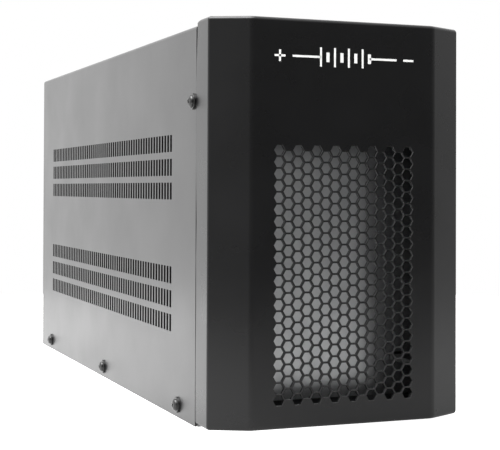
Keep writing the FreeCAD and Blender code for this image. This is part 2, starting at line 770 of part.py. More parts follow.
def make_strap(label, stack):
    """Bent strip over a stack: lip, top arm, leg down the lid side and foot on the tray."""
    body = new_body(label)
    shape = new_sketch(body, "XZ_Plane", strap_middle(stack))
    floor = "dims.tray_sheet"
    leg = "places.block_right"
    over = "places.strap_base"
    lip = "places.block_left"
    thick = "dims.strap_sheet"
    outline(shape, [
        (leg, floor),
        (f"{leg} + {thick} + dims.strap_foot", floor),
        (f"{leg} + {thick} + dims.strap_foot", f"{floor} + {thick}"),
        (f"{leg} + {thick}", f"{floor} + {thick}"),
        (f"{leg} + {thick}", f"{over} + {thick}"),
        (f"{lip} - {thick}", f"{over} + {thick}"),
        (f"{lip} - {thick}", f"{over} - dims.strap_lip"),
        (lip, f"{over} - dims.strap_lip"),
        (lip, over),
        (leg, over),
    ])
    pad(body, shape, "dims.strap_width", both=True)
    round_corners(body, f"dims.strap_bend + {thick}", [(leg, floor)])
    round_corners(body, "dims.strap_bend", [(f"{leg} + {thick}", f"{floor} + {thick}")])
    top = f"{over} + {thick}"
    round_corners(body, thick, [(f"{leg} + {thick}", top), (f"{lip} - {thick}", top)])
    holes = new_sketch(body, "XY_Plane", f"{floor} + {thick}")
    strap_screw_circles(holes, "dims.strap_screw_shank", (stack,))
    cut(body, holes, thick)
    return body


def make_strap_pads():
    """Foam between each strap and the top block."""
    body = new_body("strap_pads")
    section = new_sketch(body, "XY_Plane", "places.block_top")
    for stack in (0, 1):
        middle = strap_middle(stack)
        rectangle(section, "places.block_left", "places.block_right",
                  f"{middle} - dims.strap_width / 2", f"{middle} + dims.strap_width / 2")
    pad(body, section, "dims.strap_pad")
    return body


def make_strap_screws():
    """Screws through the strap feet into the tray."""
    body = new_body("strap_screws")
    seat = "dims.tray_sheet + dims.strap_sheet"
    heads = new_sketch(body, "XY_Plane", seat)
    strap_screw_circles(heads, "dims.strap_screw_head")
    pad(body, heads, "dims.strap_screw_rise")
    crown = value(f"{seat} + dims.strap_screw_rise")
    round_edges(body, "dims.strap_screw_round", lambda edge, at: near(at.z, crown))
    shanks = new_sketch(body, "XY_Plane", seat)
    strap_screw_circles(shanks, "dims.strap_screw_shank")
    pad(body, shanks, "dims.strap_sheet + dims.tray_sheet", reverse=True)
    return body


def socket_screw_circles(sketch, diameter, sides=("-", "")):
    """Two screw places in the flange of the socket on each side."""
    for side in sides:
        for part in ("-", "+"):
            across = f"{side}dims.socket_half_pitch {part} dims.socket_screw_half_pitch"
            circle(sketch, across, "dims.socket_up", diameter)


def make_socket(label, side):
    """Two-pole socket housing: a block through the panel, a flange on it and a cavity for each pole."""
    body = new_body(label)
    middle = f"{side}dims.socket_half_pitch"
    low = "dims.socket_up - dims.socket_height / 2"
    high = "dims.socket_up + dims.socket_height / 2"
    block = new_sketch(body, "XZ_Plane", "places.panel_front - dims.socket_inside")
    rectangle(block, f"{middle} - dims.socket_width / 2", f"{middle} + dims.socket_width / 2", low, high)
    pad(body, block, "dims.socket_inside + dims.end_sheet + dims.socket_rise", reverse=True)
    round_edges(body, "dims.socket_round", lambda edge, at: along(edge, AXIS_Y))
    flange = new_sketch(body, "XZ_Plane", "places.panel_back")
    rectangle(flange, f"{middle} - dims.socket_flange / 2", f"{middle} + dims.socket_flange / 2", low, high)
    pad(body, flange, "dims.socket_flange_sheet", reverse=True)
    ends = [f"{middle} {part} dims.socket_flange / 2" for part in ("-", "+")]
    round_corners(body, "dims.socket_flange_round", [(end, up) for end in ends for up in (low, high)])
    cavities = new_sketch(body, "XZ_Plane", "places.panel_back + dims.socket_rise")
    slots = new_sketch(body, "XZ_Plane", "places.panel_front - dims.socket_inside")
    holes = new_sketch(body, "XZ_Plane", "places.panel_back")
    for part in ("-", "+"):
        across = f"{middle} {part} dims.cavity_half_pitch"
        rectangle(cavities, f"{across} - dims.cavity_width / 2", f"{across} + dims.cavity_width / 2",
                  "dims.socket_up - dims.cavity_height / 2", "dims.socket_up + dims.cavity_height / 2")
        contact_rectangle(slots, across, "dims.contact_gap")
    socket_screw_circles(holes, "dims.socket_screw_shank", (side,))
    cut(body, cavities, "dims.cavity_depth", reverse=True)
    cut(body, slots, "dims.socket_inside")
    cut(body, holes, "dims.socket_flange_sheet")
    return body


def contact_rectangle(sketch, across, gap):
    """Cross-section of a contact blade, widened by a gap."""
    low = "dims.socket_up - dims.cavity_height / 2 + dims.contact_lift"
    half = "dims.contact_width / 2"
    rectangle(sketch, f"{across} - {half} - {gap}", f"{across} + {half} + {gap}",
              f"{low} - {gap}", f"{low} + dims.contact_sheet + {gap}")


def make_socket_contacts():
    """Silvered blades, one in each cavity, that reach back to the bus bars."""
    body = new_body("socket_contacts")
    section = new_sketch(body, "XZ_Plane", "places.panel_front - dims.socket_inside")
    for side in ("-", ""):
        for part in ("-", "+"):
            contact_rectangle(section, f"{side}dims.socket_half_pitch {part} dims.cavity_half_pitch", "0")
    reach = "dims.socket_inside + dims.end_sheet + dims.socket_rise - dims.contact_recess"
    pad(body, section, reach, reverse=True)
    return body


def make_socket_screws():
    """Screws through the socket flanges into the rear panel."""
    body = new_body("socket_screws")
    seat = "places.panel_back + dims.socket_flange_sheet"
    heads = new_sketch(body, "XZ_Plane", seat)
    socket_screw_circles(heads, "dims.socket_screw_head")
    pad(body, heads, "dims.socket_screw_rise", reverse=True)
    crown = value(f"{seat} + dims.socket_screw_rise")
    round_edges(body, "dims.socket_screw_round", lambda edge, at: near(at.y, crown))
    shanks = new_sketch(body, "XZ_Plane", seat)
    socket_screw_circles(shanks, "dims.socket_screw_shank")
    pad(body, shanks, "dims.socket_flange_sheet + dims.end_sheet + dims.socket_screw_tip")
    return body


def make_bus(label, pole, up, tab_side):
    """Flat copper bar with a leg to the same pole of both sockets."""
    body = new_body(label)
    shape = new_sketch(body, "XZ_Plane", "places.bus_front")
    bar = f"dims.socket_up {up} dims.bus_offset"
    edge = f"{bar} {up} dims.bus_height"
    tip = "dims.socket_up - dims.cavity_height / 2 + dims.contact_lift"
    if up == "-":
        tip = f"{tip} + dims.contact_sheet"
    legs = [f"{side}dims.socket_half_pitch {pole} dims.cavity_half_pitch" for side in ("-", "")]
    half = "dims.contact_width / 2"
    outline(shape, [
        (f"{legs[0]} - {half}", edge),
        (tab_side, edge),
        (tab_side, bar),
        (f"{legs[1]} + {half}", bar),
        (f"{legs[1]} + {half}", tip),
        (f"{legs[1]} - {half}", tip),
        (f"{legs[1]} - {half}", bar),
        (f"{legs[0]} + {half}", bar),
        (f"{legs[0]} + {half}", tip),
        (f"{legs[0]} - {half}", tip),
    ])
    pad(body, shape, "dims.bus_sheet", reverse=True)
    return body


def make_bus_positive():
    """Upper bar, with a tab to the front for the fuse lead."""
    body = make_bus("bus_positive", "+", "+", "dims.socket_half_pitch + dims.socket_width / 2")
    tab = new_sketch(body, "XZ_Plane", "places.bus_front")
    tab_rectangle(tab, "places.wire_line", "places.bus_line", "0")
    pad(body, tab, "dims.bus_tab_length")
    return body


def make_bus_negative():
    """Lower bar, with a tab downwards for the negative lead."""
    body = make_bus("bus_negative", "-", "-", "places.lead_line + dims.boot_width / 2")
    tab = new_sketch(body, "XY_Plane", "places.bus_foot")
    tab_rectangle(tab, "places.lead_line", "places.bus_front + dims.bus_sheet / 2", "0")
    pad(body, tab, "dims.bus_tab_length", reverse=True)
    return body


def tab_rectangle(sketch, across, up, gap):
    """Cross-section of a push-on tab, widened by a gap."""
    rectangle(sketch, f"{across} - dims.tab_width / 2 - {gap}", f"{across} + dims.tab_width / 2 + {gap}",
              f"{up} - dims.tab_sheet / 2 - {gap}", f"{up} + dims.tab_sheet / 2 + {gap}")


def boot_rectangle(sketch, across, up):
    """Cross-section of the insulating boot over a push-on receptacle."""
    rectangle(sketch, f"{across} - dims.boot_width / 2", f"{across} + dims.boot_width / 2",
              f"{up} - dims.boot_height / 2", f"{up} + dims.boot_height / 2")


def battery_boots(body, spots):
    """Boots pushed onto battery tabs, each spot a place along Y and a height."""
    blocks = new_sketch(body, "YZ_Plane", "places.boot_start")
    slots = new_sketch(body, "YZ_Plane", "places.boot_start")
    for across, up in spots:
        boot_rectangle(blocks, across, up)
        tab_rectangle(slots, across, up, "dims.boot_slot_gap")
    return pad(body, blocks, "dims.boot_length"), slots


def make_series_jumpers():
    """Short jumpers that join each block to the one above it."""
    body = new_body("series_jumpers")
    upper = "places.low_tab + dims.block_width"
    boots, slots = battery_boots(body, [("places.tab_row", "places.high_tab"), ("places.tab_row", upper)])
    wires = new_sketch(body, "XY_Plane", "places.high_tab")
    circle(wires, "places.wire_line", "places.tab_row", "dims.wire")
    wire = pad(body, wires, f"{upper} - places.high_tab")
    opened = cut(body, slots, "places.tab_end - places.boot_start + dims.boot_slot_gap", reverse=True)
    repeat = grid(body, boots, slots, "dims.levels - 1", "dims.block_width", "2", "places.stack_step")
    repeat.Originals = [boots, wire, opened]
    doc.recompute()
    return body


def make_top_link():
    """Link between the top blocks of the two stacks."""
    body = new_body("top_link")
    up = "places.high_tab + (dims.levels - 1) * dims.block_width"
    _, slots = battery_boots(body, [("places.tab_row", up), ("places.rear_tab_row", up)])
    wire = new_sketch(body, "XZ_Plane", "places.tab_row")
    circle(wire, "places.wire_line", up, "dims.wire")
    pad(body, wire, "places.stack_step", reverse=True)
    cut(body, slots, "places.tab_end - places.boot_start + dims.boot_slot_gap", reverse=True)
    return body


def make_positive_lead():
    """Lead from the last block of the string to the fuse."""
    body = new_body("positive_lead")
    _, slots = battery_boots(body, [("places.rear_tab_row", "places.low_tab")])
    wire = new_sketch(body, "XZ_Plane", "places.rear_tab_row")
    circle(wire, "places.wire_line", "places.low_tab", "dims.wire")
    pad(body, wire, "places.fuse_front - dims.boot_width - places.rear_tab_row", reverse=True)
    end_boot = new_sketch(body, "XZ_Plane", "places.fuse_front - dims.boot_width")
    boot_rectangle(end_boot, "places.wire_line", "places.low_tab")
    pad(body, end_boot, "dims.boot_width", reverse=True)
    cut(body, slots, "places.tab_end - places.boot_start + dims.boot_slot_gap", reverse=True)
    end_slot = new_sketch(body, "XZ_Plane", "places.fuse_front")
    tab_rectangle(end_slot, "places.wire_line", "places.low_tab", "dims.boot_slot_gap")
    cut(body, end_slot, "dims.boot_width - dims.tab_sheet", reverse=True)
    return body


def bend(body, role, at, pivot, centre, axis, reverse=False):
    """A quarter turn of wire from a section in a plane, about an axis of that plane through a pivot."""
    section = new_sketch(body, role, at)
    section.setExpression(".AttachmentOffset.Base.x", pivot[0])
    section.setExpression(".AttachmentOffset.Base.y", pivot[1])
    circle(section, centre[0], centre[1], "dims.wire")
    turn = body.newObject("PartDesign::Revolution", "bend")
    turn.Profile = section
    turn.ReferenceAxis = (section, [axis])
    turn.Angle = 90
    turn.Reversed = reverse
    doc.recompute()
    return turn


def make_fuse_lead():
    """Lead from the top of the fuse holder up and back to the positive bus bar."""
    body = new_body("fuse_lead")
    base_boot = new_sketch(body, "XY_Plane", "places.fuse_top")
    boot_rectangle(base_boot, "places.wire_line", "places.fuse_tab")
    pad(body, base_boot, "dims.boot_width")
    rise = new_sketch(body, "XY_Plane", "places.fuse_top + dims.boot_width")
    circle(rise, "places.wire_line", "places.fuse_tab", "dims.wire")
    turn = "places.bus_line - dims.lead_bend"
    pad(body, rise, f"{turn} - places.fuse_top - dims.boot_width")
    bend(body, "XY_Plane", turn, ("places.wire_line", "places.fuse_tab + dims.lead_bend"),
         ("0", "-dims.lead_bend"), "H_Axis", reverse=True)
    run = new_sketch(body, "XZ_Plane", "places.fuse_tab + dims.lead_bend")
    circle(run, "places.wire_line", "places.bus_line", "dims.wire")
    boot_front = "places.bus_front - dims.boot_width"
    pad(body, run, f"{boot_front} - places.fuse_tab - dims.lead_bend", reverse=True)
    end_boot = new_sketch(body, "XZ_Plane", boot_front)
    boot_rectangle(end_boot, "places.wire_line", "places.bus_line")
    pad(body, end_boot, "dims.boot_width", reverse=True)
    base_slot = new_sketch(body, "XY_Plane", "places.fuse_top")
    tab_rectangle(base_slot, "places.wire_line", "places.fuse_tab", "dims.boot_slot_gap")
    cut(body, base_slot, "dims.boot_width - dims.tab_sheet", reverse=True)
    end_slot = new_sketch(body, "XZ_Plane", "places.bus_front")
    tab_rectangle(end_slot, "places.wire_line", "places.bus_line", "dims.boot_slot_gap")
    cut(body, end_slot, "dims.bus_tab_length + dims.boot_slot_gap", reverse=True)
    return body


def make_negative_lead():
    """Lead from the first block of the string, along the tray and up to the negative bus bar."""
    body = new_body("negative_lead")
    _, slots = battery_boots(body, [("places.tab_row", "places.low_tab")])
    boot_end = "places.boot_start + dims.boot_length"
    turn = "places.tab_row + dims.lead_bend"
    bend(body, "YZ_Plane", boot_end, (turn, "places.low_tab"), ("-dims.lead_bend", "0"), "V_Axis")
    line = "places.lead_line"
    run = new_sketch(body, "XZ_Plane", turn)
    circle(run, line, "places.low_tab", "dims.wire")
    rise = "places.bus_front + dims.bus_sheet / 2"
    pad(body, run, f"{rise} - dims.lead_bend - ({turn})", reverse=True)
    bend(body, "XZ_Plane", f"{rise} - dims.lead_bend", (line, "places.low_tab + dims.lead_bend"),
         ("0", "-dims.lead_bend"), "H_Axis")
    top = new_sketch(body, "XY_Plane", "places.low_tab + dims.lead_bend")
    circle(top, line, rise, "dims.wire")
    boot_base = "places.bus_foot - dims.boot_width"
    pad(body, top, f"{boot_base} - places.low_tab - dims.lead_bend")
    end_boot = new_sketch(body, "XY_Plane", boot_base)
    boot_rectangle(end_boot, line, rise)
    pad(body, end_boot, "dims.boot_width")
    cut(body, slots, "places.tab_end - places.boot_start + dims.boot_slot_gap", reverse=True)
    end_slot = new_sketch(body, "XY_Plane", "places.bus_foot")
    tab_rectangle(end_slot, line, rise, "dims.boot_slot_gap")
    cut(body, end_slot, "dims.bus_tab_length + dims.boot_slot_gap")
    return body


def make_fuse_holder():
    """Moulded fuse holder on the tray, slotted on top for the fuse."""
    body = new_body("fuse_holder")
    base = new_sketch(body, "XY_Plane", "dims.tray_sheet")
    rectangle(base, "places.wire_line - dims.fuse_width / 2", "places.wire_line + dims.fuse_width / 2",
              "places.fuse_front", "places.fuse_back")
    pad(body, base, "dims.fuse_height")
    slot = new_sketch(body, "XY_Plane", "places.fuse_top")
    cartridge_rectangle(slot, "dims.contact_gap")
    cut(body, slot, "dims.cartridge_depth")
    return body


def cartridge_rectangle(sketch, gap):
    """Plan of the plug-in fuse, widened by a gap."""
    back = "places.fuse_back - dims.cartridge_inset"
    rectangle(sketch, f"places.wire_line - dims.cartridge_width / 2 - {gap}",
              f"places.wire_line + dims.cartridge_width / 2 + {gap}",
              f"{back} - dims.cartridge_length - {gap}", f"{back} + {gap}")


def make_fuse():
    """Plug-in fuse that stands out of its holder."""
    body = new_body("fuse")
    plan = new_sketch(body, "XY_Plane", "places.fuse_top - dims.cartridge_depth")
    cartridge_rectangle(plan, "0")
    pad(body, plan, "dims.cartridge_depth + dims.cartridge_rise")
    return body


def make_fuse_tabs():
    """Plated tabs of the fuse holder, one to the front and one upwards."""
    body = new_body("fuse_tabs")
    front = new_sketch(body, "XZ_Plane", "places.fuse_front")
    tab_rectangle(front, "places.wire_line", "places.low_tab", "0")
    pad(body, front, "dims.boot_width - dims.tab_width / 2")
    top = new_sketch(body, "XY_Plane", "places.fuse_top")
    tab_rectangle(top, "places.wire_line", "places.fuse_tab", "0")
    pad(body, top, "dims.boot_width - dims.tab_width / 2")
    return body


pieces = [make_cover(), make_base_tray(), make_front_plate(), make_rear_panel(), make_front_bezel()]
for stack, end in enumerate(("front", "rear")):
    for level, height in enumerate(("low", "middle", "high")):
        pieces.append(make_battery(f"battery_{end}_{height}", stack, level))
    pieces.append(make_strap(f"strap_{end}", stack))
pieces += [make_battery_tabs(), make_strap_pads(), make_strap_screws(), make_cover_screws()]
pieces += make_pads()
pieces += [make_series_jumpers(), make_top_link(), make_positive_lead(), make_negative_lead()]
pieces += [make_fuse_holder(), make_fuse(), make_fuse_tabs(), make_fuse_lead()]
pieces += [make_socket("socket_left", "-"), make_socket("socket_right", "")]
pieces += [make_socket_contacts(), make_socket_screws(), make_bus_positive(), make_bus_negative()]
doc.recompute()

failed = [item.Name for item in doc.Objects if {"Invalid", "Error"} & set(item.State)]
failed += [piece.Label for piece in pieces if piece.Shape.isNull() or not piece.Shape.isValid()]
if failed:
    raise RuntimeError("not built: " + ", ".join(failed))

os.makedirs("parts", exist_ok=True)
for piece in pieces:
    piece.Shape.exportStep(os.path.join("parts", piece.Label + ".step"))
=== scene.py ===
import math

import bmesh
import bpy
from mathutils import Matrix, Vector


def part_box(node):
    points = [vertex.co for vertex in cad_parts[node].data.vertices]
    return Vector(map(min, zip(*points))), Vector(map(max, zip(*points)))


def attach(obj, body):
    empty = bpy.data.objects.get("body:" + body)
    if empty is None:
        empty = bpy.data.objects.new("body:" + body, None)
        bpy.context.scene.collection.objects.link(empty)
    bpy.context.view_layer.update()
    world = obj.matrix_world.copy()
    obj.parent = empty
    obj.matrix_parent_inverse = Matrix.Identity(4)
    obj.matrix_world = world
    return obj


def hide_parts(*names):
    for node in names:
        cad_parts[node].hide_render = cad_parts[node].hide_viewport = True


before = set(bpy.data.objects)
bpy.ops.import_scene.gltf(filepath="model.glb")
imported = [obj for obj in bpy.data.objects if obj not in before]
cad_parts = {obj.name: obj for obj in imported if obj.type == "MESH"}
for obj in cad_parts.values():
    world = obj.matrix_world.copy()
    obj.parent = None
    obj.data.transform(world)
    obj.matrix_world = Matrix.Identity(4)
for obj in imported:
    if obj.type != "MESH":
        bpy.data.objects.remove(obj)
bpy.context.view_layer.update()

# Front plate
# Pan of bare zinc-plated steel sheet, sheared and folded, so it is cool grey with a faint
# cloudiness from the plating and fine lines from the rolling. It shows through the grille.
MM = 0.001
NOISE_DARK = 0.3
NOISE_LIGHT = 0.7
UPRIGHT_LINES = (1.0, 1.0, 0.02)


def surface_grain():
    """Cloudy patches and fine grain that moulded, painted and plated surfaces share."""
    group = bpy.data.node_groups.new("surface_grain", "ShaderNodeTree")
    face = group.interface
    for name, default in (("Cloud Scale", 30.0), ("Grain Scale", 900.0)):
        socket = face.new_socket(name, in_out="INPUT", socket_type="NodeSocketFloat")
        socket.default_value = default
    for name in ("Cloud", "Grain"):
        face.new_socket(name, in_out="OUTPUT", socket_type="NodeSocketFloat")
    start = group.nodes.new("NodeGroupInput")
    end = group.nodes.new("NodeGroupOutput")
    place = group.nodes.new("ShaderNodeTexCoord")
    for name, detail in (("Cloud", 4.0), ("Grain", 2.0)):
        noise = group.nodes.new("ShaderNodeTexNoise")
        noise.inputs["Detail"].default_value = detail
        group.links.new(place.outputs["Object"], noise.inputs["Vector"])
        group.links.new(start.outputs[name + " Scale"], noise.inputs["Scale"])
        group.links.new(noise.outputs["Fac"], end.inputs[name])
    return group


def drawn_lines():
    """Fine lines that rolling, drawing and turning leave on metal, along the least scaled axes."""
    group = bpy.data.node_groups.new("drawn_lines", "ShaderNodeTree")
    face = group.interface
    stretch = face.new_socket("Stretch", in_out="INPUT", socket_type="NodeSocketVector")
    stretch.default_value = UPRIGHT_LINES
    face.new_socket("Line", in_out="OUTPUT", socket_type="NodeSocketFloat")
    start = group.nodes.new("NodeGroupInput")
    end = group.nodes.new("NodeGroupOutput")
    place = group.nodes.new("ShaderNodeTexCoord")
    turn = group.nodes.new("ShaderNodeMapping")
    noise = group.nodes.new("ShaderNodeTexNoise")
    noise.inputs["Scale"].default_value = 1500.0
    noise.inputs["Detail"].default_value = 3.0
    group.links.new(place.outputs["Object"], turn.inputs["Vector"])
    group.links.new(start.outputs["Stretch"], turn.inputs["Scale"])
    group.links.new(turn.outputs["Vector"], noise.inputs["Vector"])
    group.links.new(noise.outputs["Fac"], end.inputs["Line"])
    return group


GRAIN = surface_grain()
LINES = drawn_lines()


def blend_range(tree, source, low, high):
    """A value that runs from low to high as a cloud, grain or line runs from dark to light."""
    remap = tree.nodes.new("ShaderNodeMapRange")
    remap.inputs["From Min"].default_value = NOISE_DARK
    remap.inputs["From Max"].default_value = NOISE_LIGHT
    remap.inputs["To Min"].default_value = low
    remap.inputs["To Max"].default_value = high
    tree.links.new(source, remap.inputs["Value"])
    return remap.outputs["Result"]


def grained_finish(name, dark, light, rough, metal=0.0, cloud=30.0, grain=900.0, relief=0.05,
                   depth=0.1, lines=None):
    """A finish whose colour and roughness follow the clouds and whose relief is the grain.

    Drawn lines, where it has them, take over its roughness and relief.
    """
    material = bpy.data.materials.new(name)
    material.use_nodes = True
    tree = material.node_tree
    shader = tree.nodes["Principled BSDF"]
    shader.inputs["Metallic"].default_value = metal
    texture = tree.nodes.new("ShaderNodeGroup")
    texture.node_tree = GRAIN
    texture.inputs["Cloud Scale"].default_value = cloud
    texture.inputs["Grain Scale"].default_value = grain
    mix = tree.nodes.new("ShaderNodeMix")
    mix.data_type = "RGBA"
    mix.inputs["A"].default_value = (*dark, 1.0)
    mix.inputs["B"].default_value = (*light, 1.0)
    tree.links.new(blend_range(tree, texture.outputs["Cloud"], 0.0, 1.0), mix.inputs["Factor"])
    tree.links.new(mix.outputs["Result"], shader.inputs["Base Color"])
    height = texture.outputs["Grain"]
    haze = texture.outputs["Cloud"]
    if lines is not None:
        strokes = tree.nodes.new("ShaderNodeGroup")
        strokes.node_tree = LINES
        strokes.inputs["Stretch"].default_value = lines
        height = strokes.outputs["Line"]
        haze = strokes.outputs["Line"]
    tree.links.new(blend_range(tree, haze, rough[0], rough[1]), shader.inputs["Roughness"])
    bump = tree.nodes.new("ShaderNodeBump")
    bump.inputs["Strength"].default_value = relief
    bump.inputs["Distance"].default_value = depth * MM
    tree.links.new(height, bump.inputs["Height"])
    tree.links.new(bump.outputs["Normal"], shader.inputs["Normal"])
    return material


def dress(material, *names):
    """Gives a finish to solids that are shown as they are."""
    for name in names:
        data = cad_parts[name].data
        data.materials.clear()
        data.materials.append(material)


zinc_sheet = grained_finish("zinc_sheet", (0.58, 0.59, 0.60), (0.67, 0.68, 0.68), (0.33, 0.39),
                            metal=1.0, cloud=45.0, relief=0.03, depth=0.02, lines=UPRIGHT_LINES)
dress(zinc_sheet, "front_plate")

# Base tray and straps
# Tray that is the floor of the chassis, and narrow steel bands bent over the batteries, with feet
# that are screwed to the tray. Zinc plated and rougher than the front plate, with its colour
# painted darker as painted shade for the dim inside of the closed case.
zinc_with_painted_shade = grained_finish("zinc_with_painted_shade", (0.20, 0.20, 0.205), (0.28, 0.28, 0.28), (0.52, 0.62),
                           metal=1.0, cloud=70.0, relief=0.06, depth=0.03, lines=UPRIGHT_LINES)
dress(zinc_with_painted_shade, "base_tray", "strap_front", "strap_rear")

# Strap screws
# Bright zinc pan-head screws through the feet of the straps into the tray's tapped holes.
# They are small turned and rolled parts, smoother than the sheet they hold.
TURNED_LINES = (0.1, 0.1, 1.0)
screw_zinc = grained_finish("screw_zinc", (0.54, 0.54, 0.52), (0.66, 0.66, 0.63), (0.22, 0.36),
                            metal=1.0, cloud=120.0, relief=0.04, lines=TURNED_LINES)
dress(screw_zinc, "strap_screws")

# Foam pads
# Closed-cell foam cut from flat sheet: under, before, between and beside the batteries and under
# the straps. Dull dark grey with fine pores, held by the batteries' own weight and by glue.
foam = grained_finish("foam", (0.030, 0.030, 0.033), (0.060, 0.060, 0.064), (0.90, 0.98),
                      cloud=60.0, grain=1400.0, relief=0.6, depth=0.4)
dress(foam, "base_pad", "front_pad", "divider_pad", "side_pad_front", "side_pad_rear", "strap_pads")

# Batteries
# Six sealed blocks on their sides in two stacks, each a dark grey moulded container with a glued
# lid. The moulding is satin with slightly lighter clouds where the plastic has flowed.
battery_case = grained_finish("battery_case", (0.045, 0.047, 0.051), (0.072, 0.074, 0.078),
                              (0.42, 0.58), cloud=22.0, grain=1100.0, relief=0.18, depth=0.15)
dress(battery_case, *(f"battery_{end}_{level}" for end in ("front", "rear")
                      for level in ("low", "middle", "high")))

# Push-on tabs
# Tin-plated brass blades on the batteries and the fuse holder, sheared from strip.
# Pale warm grey metal with fine lines across the pack, along the batteries' blades.
CROSSWISE_LINES = (0.02, 1.0, 1.0)
tab_plate = grained_finish("tab_plate", (0.66, 0.63, 0.58), (0.78, 0.76, 0.72), (0.26, 0.40),
                           metal=1.0, cloud=200.0, relief=0.08, lines=CROSSWISE_LINES)
dress(tab_plate, "battery_tabs", "fuse_tabs")

# Leads
# Flexible cable with moulded boots over the push-on receptacles: red from the positive end of the
# string to its fuse and bus bar, black elsewhere. Soft vinyl with a dull sheen.
lead_black = grained_finish("lead_black", (0.012, 0.012, 0.013), (0.028, 0.028, 0.029),
                            (0.45, 0.60), cloud=80.0, grain=1600.0, relief=0.12)
lead_red = grained_finish("lead_red", (0.34, 0.012, 0.010), (0.46, 0.026, 0.020),
                          (0.42, 0.58), cloud=80.0, grain=1600.0, relief=0.12)
dress(lead_black, "series_jumpers", "top_link", "negative_lead")
dress(lead_red, "positive_lead", "fuse_lead")

# Fuse and holder
# Black moulded holder that stands on the tray, and the amber plug-in fuse pressed into its slot.
# The fuse body is tinted nylon, glossier than the glass-filled holder.
holder_plastic = grained_finish("holder_plastic", (0.020, 0.020, 0.022), (0.036, 0.036, 0.038),
                                (0.48, 0.62), cloud=70.0, grain=1300.0, relief=0.15)
fuse_amber = grained_finish("fuse_amber", (0.62, 0.26, 0.02), (0.76, 0.38, 0.05),
                            (0.16, 0.26), cloud=90.0, grain=1500.0, relief=0.04)
dress(holder_plastic, "fuse_holder")
dress(fuse_amber, "fuse")

# Bus bars and socket contacts
# Sheared copper bars that join the like poles of the two sockets, and the silver-plated blades in
# the cavities. The copper has darkened in patches; the silver is bright with fine drawn lines.
LENGTHWISE_LINES = (1.0, 0.02, 1.0)
bus_copper = grained_finish("bus_copper", (0.52, 0.25, 0.15), (0.78, 0.46, 0.32), (0.26, 0.44),
                            metal=1.0, cloud=60.0, relief=0.08, lines=CROSSWISE_LINES)
contact_silver = grained_finish("contact_silver", (0.74, 0.73, 0.69), (0.86, 0.85, 0.82),
                                (0.16, 0.30), metal=1.0, cloud=150.0, relief=0.06,
                                lines=LENGTHWISE_LINES)
dress(bus_copper, "bus_positive", "bus_negative")
dress(contact_silver, "socket_contacts")

# Rear panel
# Folded pan of steel sheet in the cover's black powder coat, with cut-outs for the sockets and a
# row of vent slots. The coat is satin with a very fine orange-peel relief.
cover_paint = grained_finish("cover_paint", (0.0028, 0.0028, 0.0030), (0.0042, 0.0042, 0.0045),
                             (0.28, 0.33), cloud=25.0, grain=1400.0, relief=0.02, depth=0.08)
dress(cover_paint, "rear_panel")

# Sockets and their screws
# Grey glass-filled housings pushed through the rear panel from outside, with a flange that two
# small black screws hold. The moulding is matt and slightly mottled.
socket_plastic = grained_finish("socket_plastic", (0.12, 0.124, 0.128), (0.18, 0.185, 0.19),
                                (0.50, 0.66), cloud=110.0, grain=1500.0, relief=0.2)
screw_black = grained_finish("screw_black", (0.002, 0.002, 0.002), (0.006, 0.006, 0.006),
                             (0.24, 0.38), cloud=220.0, grain=2400.0, relief=0.06)
dress(socket_plastic, "socket_left", "socket_right")
dress(screw_black, "socket_screws")

# Cover
# Hood folded from one steel sheet about 1 mm thick: top and both sides in black satin powder coat,
# with long rows of narrow punched slots in each side. Screws hold it along the foot and the front.
hood_low, hood_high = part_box("cover")
COVER_SHEET = 1.0 * MM
COVER_BEND = 2.0 * MM
BEND_STEPS = 6
SLOT_WIDTH = 3.25 * MM
SLOT_PITCH = 5.3 * MM
SLOT_COUNT = 57
SLOT_INSET = 41.45 * MM
SLOT_START = hood_low.y + SLOT_INSET
SLOT_HEIGHT = 9.4 * MM
ROWS_IN_BAND = 3
ROW_PITCH = 13.2 * MM
LOW_ROW = 45.6 * MM
TOP_DROP = 55.8 * MM
HIGH_ROW = hood_high.z - TOP_DROP - SLOT_HEIGHT - (ROWS_IN_BAND - 1) * ROW_PITCH
SQUARE_ON = 0.999
CUT_DISTANCE = 1e-7
SHARP_ANGLE = math.radians(35)


def split(mesh, faces, place, normal):
    """Cuts some faces of a mesh along a plane."""
    parts = set(faces)
    for face in faces:
        parts.update(face.edges)
        parts.update(face.verts)
    bmesh.ops.bisect_plane(mesh, geom=list(parts), dist=CUT_DISTANCE, plane_co=place,
                           plane_no=normal)


def points_of(geometry):
    """The points among what an operator gives back."""
    return [part for part in geometry if isinstance(part, bmesh.types.BMVert)]


def add_piece(name, mesh, material, slot, *nodes):
    """Puts a finished mesh into the scene as one piece that stands for its solids."""
    data = bpy.data.meshes.new(name)
    mesh.to_mesh(data)
    mesh.free()
    data.shade_smooth()
    data.set_sharp_from_angle(angle=SHARP_ANGLE)
    data.materials.append(material)
    piece = bpy.data.objects.new(name, data)
    bpy.context.scene.collection.objects.link(piece)
    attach(piece, "root")
    if nodes:
        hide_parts(*nodes)
    return piece


def keep_flats(piece):
    """Lets the large flat faces rule the shading along their rounded edges."""
    weighted = piece.modifiers.new("flats", "WEIGHTED_NORMAL")
    weighted.keep_sharp = True


